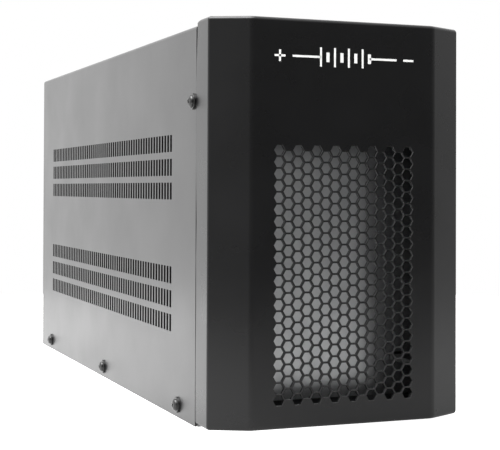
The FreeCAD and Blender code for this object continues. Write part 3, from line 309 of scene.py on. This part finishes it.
hood = bmesh.new()
corners = [(hood_low.x, hood_low.z), (hood_low.x, hood_high.z),
           (hood_high.x, hood_high.z), (hood_high.x, hood_low.z)]
chain = [hood.verts.new((x, hood_low.y, z)) for x, z in corners]
fold = [hood.edges.new(pair) for pair in zip(chain, chain[1:])]
drawn = bmesh.ops.extrude_edge_only(hood, edges=fold)["geom"]
bmesh.ops.translate(hood, verts=points_of(drawn), vec=(0, hood_high.y - hood_low.y, 0))
bends = [edge for edge in hood.edges
         if all(vert.co.z > hood_high.z - MM for vert in edge.verts)
         and edge.verts[0].co.x * edge.verts[1].co.x > 0]
bmesh.ops.bevel(hood, geom=bends, offset=COVER_BEND, offset_type="OFFSET", affect="EDGES",
                segments=BEND_STEPS, profile=0.5, material=-1)
rows = [base + k * ROW_PITCH for base in (LOW_ROW, HIGH_ROW) for k in range(ROWS_IN_BAND)]


def on_side(face):
    """Whether a face of the hood looks straight to the left or right."""
    return abs(face.normal.x) > SQUARE_ON


def in_row(face):
    """Whether a face of the hood's side lies in one of the rows."""
    height = face.calc_center_median().z
    return on_side(face) and any(0 < height - base < SLOT_HEIGHT for base in rows)


def spans(face, y):
    """Whether a face reaches past a place along the pack on both sides."""
    return min(vert.co.y for vert in face.verts) < y < max(vert.co.y for vert in face.verts)


def is_slot(face):
    """Whether a face of a row is punched out."""
    along = face.calc_center_median().y - SLOT_START
    return in_row(face) and 0 < along < SLOT_COUNT * SLOT_PITCH and along % SLOT_PITCH < SLOT_WIDTH


for base in rows:
    for level in (base, base + SLOT_HEIGHT):
        split(hood, [face for face in hood.faces if on_side(face)], (0, 0, level), (0, 0, 1))
for k in range(SLOT_COUNT):
    for y in (SLOT_START + k * SLOT_PITCH, SLOT_START + k * SLOT_PITCH + SLOT_WIDTH):
        split(hood, [face for face in hood.faces if in_row(face) and spans(face, y)],
              (0, y, 0), (0, 1, 0))
bmesh.ops.delete(hood, geom=[face for face in hood.faces if is_slot(face)], context="FACES")
outward = max(hood.faces, key=lambda face: face.calc_center_median().z)
if outward.normal.z < 0:
    bmesh.ops.reverse_faces(hood, faces=hood.faces)
bmesh.ops.solidify(hood, geom=hood.faces, thickness=COVER_SHEET)
cover = add_piece("case_cover", hood, cover_paint, "cover_paint", "cover")
keep_flats(cover)

# Cover screws
# Black machine screws with a domed head on a flange and a cross recess, four on each side:
# three along the foot into the tray and one at the front edge into the front plate.
FLANGE_RADIUS = 4.3 * MM
FLANGE_RISE = 1.2 * MM
FLANGE_ROUND = 0.2 * MM
HEAD_RADIUS = 3.2 * MM
HEAD_RISE = 3.1 * MM
HEAD_RIM = 1.35 * MM
HEAD_FLAT = 1.1 * MM
HEAD_CROWN = 0.12 * MM
DOME_STEPS = 6
SCREW_SIDES = 32
MERGE_DISTANCE = 0.001 * MM
RECESS_LENGTH = 3.6 * MM
RECESS_WIDTH = 1.0 * MM
RECESS_DEPTH = 1.5 * MM
RECESS_TAPER = 0.55
SIDE_TILT = 0.5
SHANK_RADIUS = 1.95 * MM
SHANK_LENGTH = 5.5 * MM
FOOT_SCREWS = 3
FOOT_UP = 7.3 * MM
FOOT_FRONT = 29.3 * MM
FOOT_REAR = 33.3 * MM
EDGE_IN = 4.5 * MM
EDGE_DROP = 39.7 * MM
FIRST_TWIST = 25
TWIST_STEP = 40

head = bmesh.new()
dome_width = HEAD_RADIUS - HEAD_FLAT
dome_rise = HEAD_RISE - HEAD_CROWN - HEAD_RIM
profile = [(0, -SHANK_LENGTH), (SHANK_RADIUS, -SHANK_LENGTH), (SHANK_RADIUS, 0),
           (FLANGE_RADIUS, 0), (FLANGE_RADIUS, FLANGE_RISE - FLANGE_ROUND),
           (FLANGE_RADIUS - FLANGE_ROUND, FLANGE_RISE), (HEAD_RADIUS, FLANGE_RISE)]
for k in range(DOME_STEPS + 1):
    turn = math.radians(90 / DOME_STEPS * k)
    profile.append((HEAD_FLAT + dome_width * math.cos(turn), HEAD_RIM + dome_rise * math.sin(turn)))
profile += [(HEAD_FLAT / 2, HEAD_RISE - HEAD_CROWN / 4), (0, HEAD_RISE)]
ring = [head.verts.new((radius, 0, rise)) for radius, rise in profile]
outline = [head.edges.new(pair) for pair in zip(ring, ring[1:])]
bmesh.ops.spin(head, geom=ring + outline, cent=(0, 0, 0), axis=(0, 0, 1), angle=math.tau,
               steps=SCREW_SIDES, use_merge=True, use_duplicate=False)
bmesh.ops.remove_doubles(head, verts=head.verts, dist=MERGE_DISTANCE)
bmesh.ops.recalc_face_normals(head, faces=head.faces)


def as_object(name, mesh):
    """A mesh as an object of the scene."""
    data = bpy.data.meshes.new(name)
    mesh.to_mesh(data)
    mesh.free()
    made = bpy.data.objects.new(name, data)
    bpy.context.scene.collection.objects.link(made)
    return made


def cut_away(blank, tool):
    """The mesh of a blank with the shape of a tool cut out of it."""
    pocket = blank.modifiers.new("pocket", "BOOLEAN")
    pocket.operation = "DIFFERENCE"
    pocket.solver = "EXACT"
    pocket.object = tool
    bpy.context.view_layer.update()
    graph = bpy.context.evaluated_depsgraph_get()
    left = bmesh.new()
    left.from_object(blank, graph)
    for scrap in (blank, tool):
        bpy.data.objects.remove(scrap)
    return left


def as_pattern(name, mesh):
    """A mesh kept as a pattern, to be placed more than once."""
    data = bpy.data.meshes.new(name)
    mesh.to_mesh(data)
    mesh.free()
    return data


def place_copy(mesh, pattern, matrix):
    """Adds a copy of a pattern to a mesh at the place that a matrix gives."""
    fresh = len(mesh.verts)
    mesh.from_mesh(pattern)
    mesh.verts.ensure_lookup_table()
    bmesh.ops.transform(mesh, matrix=matrix, verts=mesh.verts[fresh:])


cross = bmesh.new()
bmesh.ops.create_cube(cross, size=1, matrix=Matrix.Translation((0, 0, HEAD_RISE))
                      @ Matrix.Diagonal((RECESS_WIDTH, RECESS_WIDTH, 2 * RECESS_DEPTH, 1)))
cheeks = [face for face in cross.faces if abs(face.normal.z) < SIDE_TILT]
for wing in bmesh.ops.extrude_discrete_faces(cross, faces=cheeks)["faces"]:
    away = wing.calc_center_median() - Vector((0, 0, HEAD_RISE))
    bmesh.ops.translate(cross, verts=wing.verts,
                        vec=away.normalized() * (RECESS_LENGTH - RECESS_WIDTH) / 2)
for vert in cross.verts:
    if vert.co.z < HEAD_RISE:
        vert.co.xy *= RECESS_TAPER
# Turned by half a side of the head, so that no corner of the recess meets an edge of the dome.
bmesh.ops.rotate(cross, verts=cross.verts, cent=(0, 0, 0),
                 matrix=Matrix.Rotation(math.pi / SCREW_SIDES, 3, "Z"))
bmesh.ops.recalc_face_normals(cross, faces=cross.faces)
one_screw = as_pattern("one_screw", cut_away(as_object("screw_blank", head),
                                             as_object("recess", cross)))
foot_step = (hood_high.y - hood_low.y - FOOT_FRONT - FOOT_REAR) / (FOOT_SCREWS - 1)
spots = [(hood_low.y + FOOT_FRONT + k * foot_step, FOOT_UP) for k in range(FOOT_SCREWS)]
spots.append((hood_low.y + EDGE_IN, hood_high.z - EDGE_DROP))
screws = bmesh.new()
for side in (-1, 1):
    stand = Matrix.Rotation(side * math.pi / 2, 4, "Y")
    for number, (along, up) in enumerate(spots):
        twist = Matrix.Rotation(math.radians(FIRST_TWIST + TWIST_STEP * number), 4, "Z")
        place = Matrix.Translation((side * hood_high.x, along, up))
        place_copy(screws, one_screw, place @ stand @ twist)
bpy.data.meshes.remove(one_screw)
add_piece("case_screws", screws, screw_black, "screw_black", "cover_screws")

# Moulded front
# Hollow black plastic moulding, snapped to the front plate by four hooks: chamfered left and right
# sides, soft edges and a honeycomb of six-sided openings, points to the left and right.
low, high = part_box("front_bezel")
half = high.x
SEAM = hood_low.y
INK = 0.03 * MM
FRONT = low.y + INK
PLAIN_GAP = 0.8 * MM
REAR = SEAM - PLAIN_GAP
WALL = 2.5 * MM
GRILLE_WALL = 1.7 * MM
CHAMFER_WIDTH = 20.2 * MM
CHAMFER_DEPTH = 10.0 * MM
FLANK_ROUND = 1.2 * MM
FRONT_ROUND = 7.0 * MM
ROUND_STEPS = 6
RIM_ROUND = 2.0 * MM
RIM_STEPS = 5
BROW_DROP = 2.1 * MM
BROW_RUN = 4.5 * MM
HEX_ACROSS = 5.15 * MM
HEX_PITCH = 6.1 * MM
HEX_LIP = 0.2 * MM
HEX_COLUMNS = 8
HEX_ROWS = 22
HEX_BASE = 16.3 * MM
HEX_STEP = HEX_PITCH * math.sqrt(3)
SKIRT = 5.0 * MM
TOUCH = 0.01 * MM
FLAT_ON = 0.99
EDGE_ON = 0.01

tile = bmesh.new()
upright = Matrix.Translation((0, FRONT, 0)) @ Matrix.Rotation(math.pi / 2, 4, "X")
points_sideways = Matrix.Rotation(math.pi / 6, 4, "Z")
bmesh.ops.create_circle(tile, cap_ends=True, segments=6, radius=HEX_PITCH / math.sqrt(3),
                        matrix=upright @ points_sideways)
cell = list(tile.faces)[0]
web = (HEX_PITCH - HEX_ACROSS) / 2
for inset, sink in ((web - HEX_LIP, 0), (HEX_LIP, -HEX_LIP)):
    bmesh.ops.inset_individual(tile, faces=[cell], thickness=inset, depth=sink,
                               use_even_offset=True)
pushed = bmesh.ops.extrude_discrete_faces(tile, faces=[cell])["faces"][0]
bmesh.ops.translate(tile, verts=pushed.verts, vec=(0, GRILLE_WALL - HEX_LIP, 0))
back_edge = list(pushed.edges)
bmesh.ops.delete(tile, geom=[pushed], context="FACES_ONLY")
ledge = bmesh.ops.extrude_edge_only(tile, edges=back_edge)["geom"]
bmesh.ops.scale(tile, verts=points_of(ledge),
                vec=(HEX_PITCH / HEX_ACROSS, 1, HEX_PITCH / HEX_ACROSS))
one_cell = as_pattern("one_cell", tile)

honeycomb = bmesh.new()
for shift, fewer in ((0.0, 0), (0.5, 1)):
    for column in range(HEX_COLUMNS - fewer):
        across = (column + shift - (HEX_COLUMNS - 1) / 2) * HEX_STEP
        for row in range(HEX_ROWS - fewer):
            up = HEX_BASE + (row + shift) * HEX_PITCH
            place_copy(honeycomb, one_cell, Matrix.Translation((across, 0, up)))
bpy.data.meshes.remove(one_cell)
bmesh.ops.remove_doubles(honeycomb, verts=honeycomb.verts, dist=TOUCH)
grille = bpy.data.meshes.new("grille")
honeycomb.to_mesh(grille)


def at_front(vert):
    """Whether a point lies in the outer face of the moulding."""
    return abs(vert.co.y - FRONT) < TOUCH


def at_level(vert, level):
    """Whether a point lies at a height."""
    return abs(vert.co.z - level) < TOUCH


border = [edge for edge in honeycomb.edges if edge.is_boundary and all(map(at_front, edge.verts))]
bmesh.ops.delete(honeycomb, geom=[edge for edge in honeycomb.edges if edge not in set(border)],
                 context="EDGES_FACES")
lace = as_pattern("grille_border", honeycomb)

shell = bmesh.new()
plan = [(-half, REAR), (-half, FRONT + CHAMFER_DEPTH), (CHAMFER_WIDTH - half, FRONT),
        (half - CHAMFER_WIDTH, FRONT), (half, FRONT + CHAMFER_DEPTH), (half, REAR)]
chain = [shell.verts.new((x, y, low.z)) for x, y in plan]
bmesh.ops.extrude_edge_only(shell, edges=[shell.edges.new(pair) for pair in zip(chain, chain[1:])])
for vert in shell.verts:
    if vert not in chain:
        vert.co.z = high.z
turn = math.atan2(CHAMFER_DEPTH, CHAMFER_WIDTH)
for reach, radius, angle in ((half - CHAMFER_WIDTH, FRONT_ROUND, turn),
                             (half, FLANK_ROUND, math.pi / 2 - turn)):
    uprights = [edge for edge in shell.edges
                if abs(edge.verts[0].co.z - edge.verts[1].co.z) > SKIRT
                and abs(abs(edge.verts[0].co.x) - reach) < TOUCH
                and edge.verts[0].co.y < REAR - SKIRT]
    bmesh.ops.bevel(shell, geom=uprights, offset=radius * math.tan(angle / 2), offset_type="OFFSET",
                    affect="EDGES", segments=ROUND_STEPS, profile=0.5, material=-1)
for level in (low.z, high.z):
    ends = [vert for vert in shell.verts if at_level(vert, level)]
    rear_pair = [vert for vert in ends if abs(vert.co.y - REAR) < TOUCH]
    loop = [edge for edge in shell.edges if all(vert in ends for vert in edge.verts)]
    bmesh.ops.contextual_create(shell, geom=loop + [shell.edges.new(rear_pair)])
face = max((face for face in shell.faces if all(map(at_front, face.verts))),
           key=lambda item: item.calc_area())
bmesh.ops.inset_region(shell, faces=[face], thickness=SKIRT, use_even_offset=True)
window = list(face.edges)
bmesh.ops.delete(shell, geom=[face], context="FACES_ONLY")
shell.from_mesh(lace)
border = [edge for edge in shell.edges if edge.is_wire]
bmesh.ops.triangle_fill(shell, edges=window + border, use_beauty=True, normal=(0, -1, 0))
bmesh.ops.recalc_face_normals(shell, faces=shell.faces)
outward = min(shell.faces, key=lambda item: item.calc_center_median().y)
if outward.normal.y > 0:
    bmesh.ops.reverse_faces(shell, faces=shell.faces)
bmesh.ops.solidify(shell, geom=shell.faces, thickness=WALL)

# The wall is thinner round the grille: the ring of faces that solidify left between the outer and
# inner border goes, and the inner border moves forward to meet the back of the honeycomb.
COLLAR_TILT = 0.1
COLLAR_REACH = 0.1 * MM
half_grille = HEX_COLUMNS / 2 * HEX_STEP
collar = [face for face in shell.faces if abs(face.normal.y) < COLLAR_TILT
          and abs(face.calc_center_median().y - FRONT - WALL / 2) < COLLAR_REACH
          and abs(face.calc_center_median().x) < half_grille
          and 0 < face.calc_center_median().z < HEX_BASE + HEX_ROWS * HEX_PITCH]
thinned = {vert for face in collar for vert in face.verts if not at_front(vert)}
bmesh.ops.delete(shell, geom=collar, context="FACES_ONLY")
for vert in thinned:
    vert.co.y = FRONT + GRILLE_WALL
shell.from_mesh(grille)
bmesh.ops.remove_doubles(shell, verts=shell.verts, dist=TOUCH)
bpy.data.meshes.remove(lace)
bpy.data.meshes.remove(grille)

# Heights on the rear edge and the gaps there, in millimetres.
SEAM_GAPS = [(0, 1.00), (30, 0.65), (60, 1.04), (78, 0.98), (87, 0.70), (107, 1.30), (124, 0.50),
             (138, 0.10), (180, 0.08), (190, 0.45), (204, 1.65), (214, 1.80)]


def seam_gap(up):
    """How far the slightly warped rear edge of the moulding stands off the cover at a height."""
    for (low_end, low_gap), (high_end, high_gap) in zip(SEAM_GAPS, SEAM_GAPS[1:]):
        if up <= high_end * MM:
            share = (up / MM - low_end) / (high_end - low_end)
            return (low_gap + share * (high_gap - low_gap)) * MM
    return SEAM_GAPS[-1][1] * MM


def at_rim(edge):
    """Whether an edge runs round the top or the bottom of the moulding."""
    if len(edge.link_faces) != 2:
        return False
    tilts = [abs(face.normal.z) for face in edge.link_faces]
    level = any(all(at_level(vert, end) for vert in edge.verts) for end in (low.z, high.z))
    ahead = any(vert.co.y < REAR - SKIRT for vert in edge.verts)
    return level and ahead and max(tilts) > FLAT_ON and min(tilts) < EDGE_ON


for level, _ in SEAM_GAPS[1:-1]:
    flanks = [face for face in shell.faces if abs(face.normal.x) > FLAT_ON
              and abs(face.calc_center_median().x) > half - 2 * WALL]
    split(shell, flanks, (0, 0, level * MM), (0, 0, 1))
for vert in shell.verts:
    if abs(vert.co.y - REAR) < TOUCH:
        vert.co.y = SEAM - seam_gap(vert.co.z)
bmesh.ops.bevel(shell, geom=[edge for edge in shell.edges if at_rim(edge)], offset=RIM_ROUND,
                offset_type="OFFSET", affect="EDGES", segments=RIM_STEPS, profile=0.5, material=-1)
above_brow = bmesh.ops.bisect_plane(
    shell, geom=list(shell.verts) + list(shell.edges) + list(shell.faces), dist=CUT_DISTANCE,
    plane_co=(0, REAR - BROW_RUN, high.z), plane_no=(0, BROW_DROP, BROW_RUN), clear_outer=True)
brow = [part for part in above_brow["geom_cut"] if isinstance(part, bmesh.types.BMEdge)]
bmesh.ops.triangle_fill(shell, edges=brow, use_beauty=True, normal=(0, BROW_DROP, BROW_RUN))

HOOK_WIDTH = 8.0 * MM
HOOK_HEIGHT = 3.0 * MM
HOOK_REACH = 5.8 * MM
HOOK_INSET = 6.5 * MM
HOOK_SIDE = half - CHAMFER_WIDTH - HOOK_INSET
HOOK_BASE = 30.0 * MM
HOOK_DROP = 18.0 * MM
HOOK_HIGH = hood_high.z - HOOK_DROP
BARB_LENGTH = 3.0 * MM
BARB_RISE = 1.2 * MM
BARB_SLOPE = 1.15 * MM
hook_start = FRONT + WALL / 2
hook_length = SEAM + HOOK_REACH - hook_start
hook = bmesh.new()
bmesh.ops.create_cube(hook, size=1, matrix=Matrix.Translation((0, hook_length / 2, HOOK_HEIGHT / 2))
                      @ Matrix.Diagonal((HOOK_WIDTH, hook_length, HOOK_HEIGHT, 1)))
split(hook, list(hook.faces), (0, hook_length - BARB_LENGTH, 0), (0, 1, 0))
top = max((face for face in hook.faces if face.normal.z > FLAT_ON),
          key=lambda item: item.calc_center_median().y)
barb = bmesh.ops.extrude_discrete_faces(hook, faces=[top])["faces"][0]
bmesh.ops.translate(hook, verts=barb.verts, vec=(0, 0, BARB_RISE))
tip = [vert for vert in barb.verts if vert.co.y > hook_length - BARB_LENGTH / 2]
bmesh.ops.translate(hook, verts=tip, vec=(0, 0, -BARB_SLOPE))
one_hook = as_pattern("one_hook", hook)
hooks = bmesh.new()
for across in (-HOOK_SIDE, HOOK_SIDE):
    for base in (HOOK_BASE, HOOK_HIGH):
        place_copy(hooks, one_hook, Matrix.Translation((across, hook_start, base)))
bpy.data.meshes.remove(one_hook)
four_hooks = as_pattern("four_hooks", hooks)
shell.from_mesh(four_hooks)
bpy.data.meshes.remove(four_hooks)
bmesh.ops.recalc_face_normals(shell, faces=shell.faces)
bezel_plastic = grained_finish("bezel_plastic", (0.0026, 0.0026, 0.0028), (0.0036, 0.0036, 0.0039),
                               (0.26, 0.31), cloud=28.0, grain=2200.0, relief=0.02, depth=0.06)
BEZEL_IOR = 1.41
bezel_plastic.node_tree.nodes["Principled BSDF"].inputs["IOR"].default_value = BEZEL_IOR
bezel = add_piece("moulded_front", shell, bezel_plastic, "bezel_plastic", "front_bezel")
keep_flats(bezel)

# Printed mark
# White ink laid on the moulded front above the grille: the circuit sign for a battery, with a plus
# beside its first plate and a minus beside its last. A film of a few hundredths of a millimetre.
MARK_HEIGHT = 193.0 * MM
CELL_PAIRS = 4
PLATE_STEP = 4.0 * MM
LONG_PLATE = (1.1 * MM, 10.0 * MM)
SHORT_PLATE = (1.8 * MM, 5.0 * MM)
LINE = 1.1 * MM
WIRE_END = 30.0 * MM
SIGN_PLACE = 37.0 * MM
SIGN_SIZE = 6.0 * MM
bars = []
first_plate = -(2 * CELL_PAIRS - 1) / 2 * PLATE_STEP
for pair in range(CELL_PAIRS):
    bars.append((first_plate + 2 * pair * PLATE_STEP, *LONG_PLATE))
    bars.append((first_plate + (2 * pair + 1) * PLATE_STEP, *SHORT_PLATE))
wire = WIRE_END + first_plate
for side in (-1, 1):
    bars.append((side * (WIRE_END - wire / 2), wire, LINE))
    bars.append((side * SIGN_PLACE, SIGN_SIZE, LINE))
bars.append((-SIGN_PLACE, LINE, SIGN_SIZE))
mark = bmesh.new()
for across, width, tall in bars:
    place = Matrix.Translation((across, FRONT - INK / 2, MARK_HEIGHT))
    bmesh.ops.create_cube(mark, size=1, matrix=place @ Matrix.Diagonal((width, INK, tall, 1)))
print_white = grained_finish("print_white", (0.80, 0.80, 0.79), (0.88, 0.88, 0.87), (0.40, 0.50),
                             cloud=160.0, grain=1800.0, relief=0.05)
add_piece("printed_mark", mark, print_white, None)

# Floor
# Plain pale studio floor that glows more towards the left and the rear, where the light comes from.
# What the camera sees of it is lifted to white, so that no grey edge shows under the object.
FLOOR_RADIUS = 0.63
FLOOR_CENTRE = (0.05, 0.05, 0.0)
FLOOR_SIDES = 96
GLOW_AXIS = (-1.0, 0.5, 0.0)
GLOW_REACH = (-0.15, 0.10)
GLOW_LIGHT = (0.24, 1.42)
SEEN_LIFT = 0.82


def soft_range(tree, source, reach, light):
    """A value that eases between two lights as its source runs over a reach."""
    remap = tree.nodes.new("ShaderNodeMapRange")
    remap.interpolation_type = "SMOOTHSTEP"
    remap.inputs["From Min"].default_value = reach[0]
    remap.inputs["From Max"].default_value = reach[1]
    remap.inputs["To Min"].default_value = light[0]
    remap.inputs["To Max"].default_value = light[1]
    tree.links.new(source, remap.inputs["Value"])
    return remap.outputs["Result"]


def along_axis(tree, source, axis):
    """How far a place or direction lies along an axis."""
    dot = tree.nodes.new("ShaderNodeVectorMath")
    dot.operation = "DOT_PRODUCT"
    dot.inputs[1].default_value = axis
    tree.links.new(source, dot.inputs[0])
    return dot.outputs["Value"]


ground = bmesh.new()
bmesh.ops.create_circle(ground, cap_ends=True, segments=FLOOR_SIDES, radius=FLOOR_RADIUS,
                        matrix=Matrix.Translation(FLOOR_CENTRE))
floor_finish = grained_finish("floor_finish", (0.24, 0.24, 0.24), (0.26, 0.26, 0.26), (0.70, 0.78),
                              cloud=3.0, grain=200.0, relief=0.01)
floor_tree = floor_finish.node_tree
floor_place = floor_tree.nodes.new("ShaderNodeTexCoord")
leftward = along_axis(floor_tree, floor_place.outputs["Object"], GLOW_AXIS)
floor_seen = floor_tree.nodes.new("ShaderNodeLightPath")
shown = floor_tree.nodes.new("ShaderNodeMath")
shown.operation = "MULTIPLY_ADD"
shown.inputs[1].default_value = SEEN_LIFT
floor_tree.links.new(floor_seen.outputs["Is Camera Ray"], shown.inputs[0])
floor_tree.links.new(soft_range(floor_tree, leftward, GLOW_REACH, GLOW_LIGHT), shown.inputs[2])
floor_shader = floor_tree.nodes["Principled BSDF"]
floor_tree.links.new(shown.outputs["Value"], floor_shader.inputs["Emission Color"])
floor_shader.inputs["Emission Strength"].default_value = 1.0
floor = as_object("floor", ground)
floor.data.materials.append(floor_finish)

# Studio light
# Pale surround that is brightest behind the object and dimmest before it, a little lighter higher
# up in front, with an even ceiling and one soft lamp overhead. The camera sees plain white.
BEARINGS = [(-180, 1.55), (-150, 1.72), (-105, 1.65), (-62, 1.0), (-34, 0.40), (-5, 0.19),
            (23, 0.17), (45, 0.235), (82, 0.60), (120, 1.2), (180, 1.55)]
RISE_REACH = (0.0, 0.3)
RISE_LIGHT = (0.0, 0.9)
FRONT_REACH = (-0.2, 0.3)
CEILING_REACH = (0.22, 0.9)
CEILING_LIGHT = (1.4, 1.4, 1.4, 1.0)
LAMP_AXIS = (-0.25, -0.05, 0.967)
LAMP_REACH = (0.80, 0.95)
LAMP_LIGHT = (0.0, 12.0)
FULL = (0.0, 1.0)
WHITE = (1.0, 1.0, 1.0, 1.0)

world = bpy.data.worlds.new("studio")
world.use_nodes = True
bpy.context.scene.world = world
sky = world.node_tree


def sky_math(operation):
    """A sum for the surround."""
    node = sky.nodes.new("ShaderNodeMath")
    node.operation = operation
    return node


def sky_mix(blend, first):
    """A mix of two lights of the surround, with the first one linked."""
    node = sky.nodes.new("ShaderNodeMix")
    node.data_type = "RGBA"
    node.blend_type = blend
    node.inputs["Factor"].default_value = 1.0
    sky.links.new(first, node.inputs["A"])
    return node


direction = sky.nodes.new("ShaderNodeTexCoord")
parts = sky.nodes.new("ShaderNodeSeparateXYZ")
sky.links.new(direction.outputs["Generated"], parts.inputs["Vector"])
ahead = sky_math("MULTIPLY")
ahead.inputs[1].default_value = -1.0
sky.links.new(parts.outputs["Y"], ahead.inputs[0])
bearing = sky_math("ARCTAN2")
sky.links.new(parts.outputs["X"], bearing.inputs[0])
sky.links.new(ahead.outputs["Value"], bearing.inputs[1])
around = sky.nodes.new("ShaderNodeMapRange")
around.inputs["From Min"].default_value = -math.pi
around.inputs["From Max"].default_value = math.pi
sky.links.new(bearing.outputs["Value"], around.inputs["Value"])
ring_light = sky.nodes.new("ShaderNodeValToRGB")
ramp = ring_light.color_ramp
ramp.interpolation = "EASE"
while len(ramp.elements) < len(BEARINGS):
    ramp.elements.new(0.5)
for element, (bearing_degrees, light) in zip(ramp.elements, BEARINGS):
    element.position = (bearing_degrees + 180) / 360
    element.color = (light, light, light, 1.0)
sky.links.new(around.outputs["Result"], ring_light.inputs["Fac"])
gain = sky_math("MULTIPLY_ADD")
gain.inputs[2].default_value = 1.0
sky.links.new(soft_range(sky, parts.outputs["Z"], RISE_REACH, RISE_LIGHT), gain.inputs[0])
sky.links.new(soft_range(sky, ahead.outputs["Value"], FRONT_REACH, FULL), gain.inputs[1])
raised = sky_mix("MULTIPLY", ring_light.outputs["Color"])
sky.links.new(gain.outputs["Value"], raised.inputs["B"])
ceiling = sky_mix("MIX", raised.outputs["Result"])
ceiling.inputs["B"].default_value = CEILING_LIGHT
overhead = soft_range(sky, parts.outputs["Z"], CEILING_REACH, FULL)
sky.links.new(overhead, ceiling.inputs["Factor"])
lit = sky_mix("ADD", ceiling.outputs["Result"])
above = along_axis(sky, direction.outputs["Generated"], LAMP_AXIS)
sky.links.new(soft_range(sky, above, LAMP_REACH, LAMP_LIGHT), lit.inputs["B"])
backdrop = sky_mix("MIX", lit.outputs["Result"])
backdrop.inputs["B"].default_value = WHITE
seen = sky.nodes.new("ShaderNodeLightPath")
sky.links.new(seen.outputs["Is Camera Ray"], backdrop.inputs["Factor"])
sky.links.new(backdrop.outputs["Result"], sky.nodes["Background"].inputs["Color"])

# Camera
# Stands before the left front edge, a little above half the object's height, and looks almost
# level. The shift sets the picture lower than the lens's axis, so upright edges stay near parallel.
LENS = 91.490
SHIFT = -0.1064
CAMERA_PLACE = Vector((-0.28623, -0.80687, 0.12448))
YAW = math.radians(21.206)
PITCH = math.radians(-0.769)
ROLL = math.radians(0.214)
ahead_line = Vector((math.sin(YAW) * math.cos(PITCH), math.cos(YAW) * math.cos(PITCH),
                     -math.sin(PITCH)))
right_line = Vector((math.cos(YAW), -math.sin(YAW), 0))
up_line = right_line.cross(ahead_line)
rolled_right = math.cos(ROLL) * right_line + math.sin(ROLL) * up_line
rolled_up = math.cos(ROLL) * up_line - math.sin(ROLL) * right_line
turned = Matrix((rolled_right, rolled_up, -ahead_line)).transposed().to_4x4()
lens = bpy.data.cameras.new("camera")
lens.lens = LENS
lens.sensor_fit = "HORIZONTAL"
lens.shift_y = SHIFT
camera = bpy.data.objects.new("camera", lens)
camera.matrix_world = Matrix.Translation(CAMERA_PLACE) @ turned
bpy.context.scene.collection.objects.link(camera)
bpy.context.scene.camera = camera
bpy.context.scene.view_settings.view_transform = "Standard"
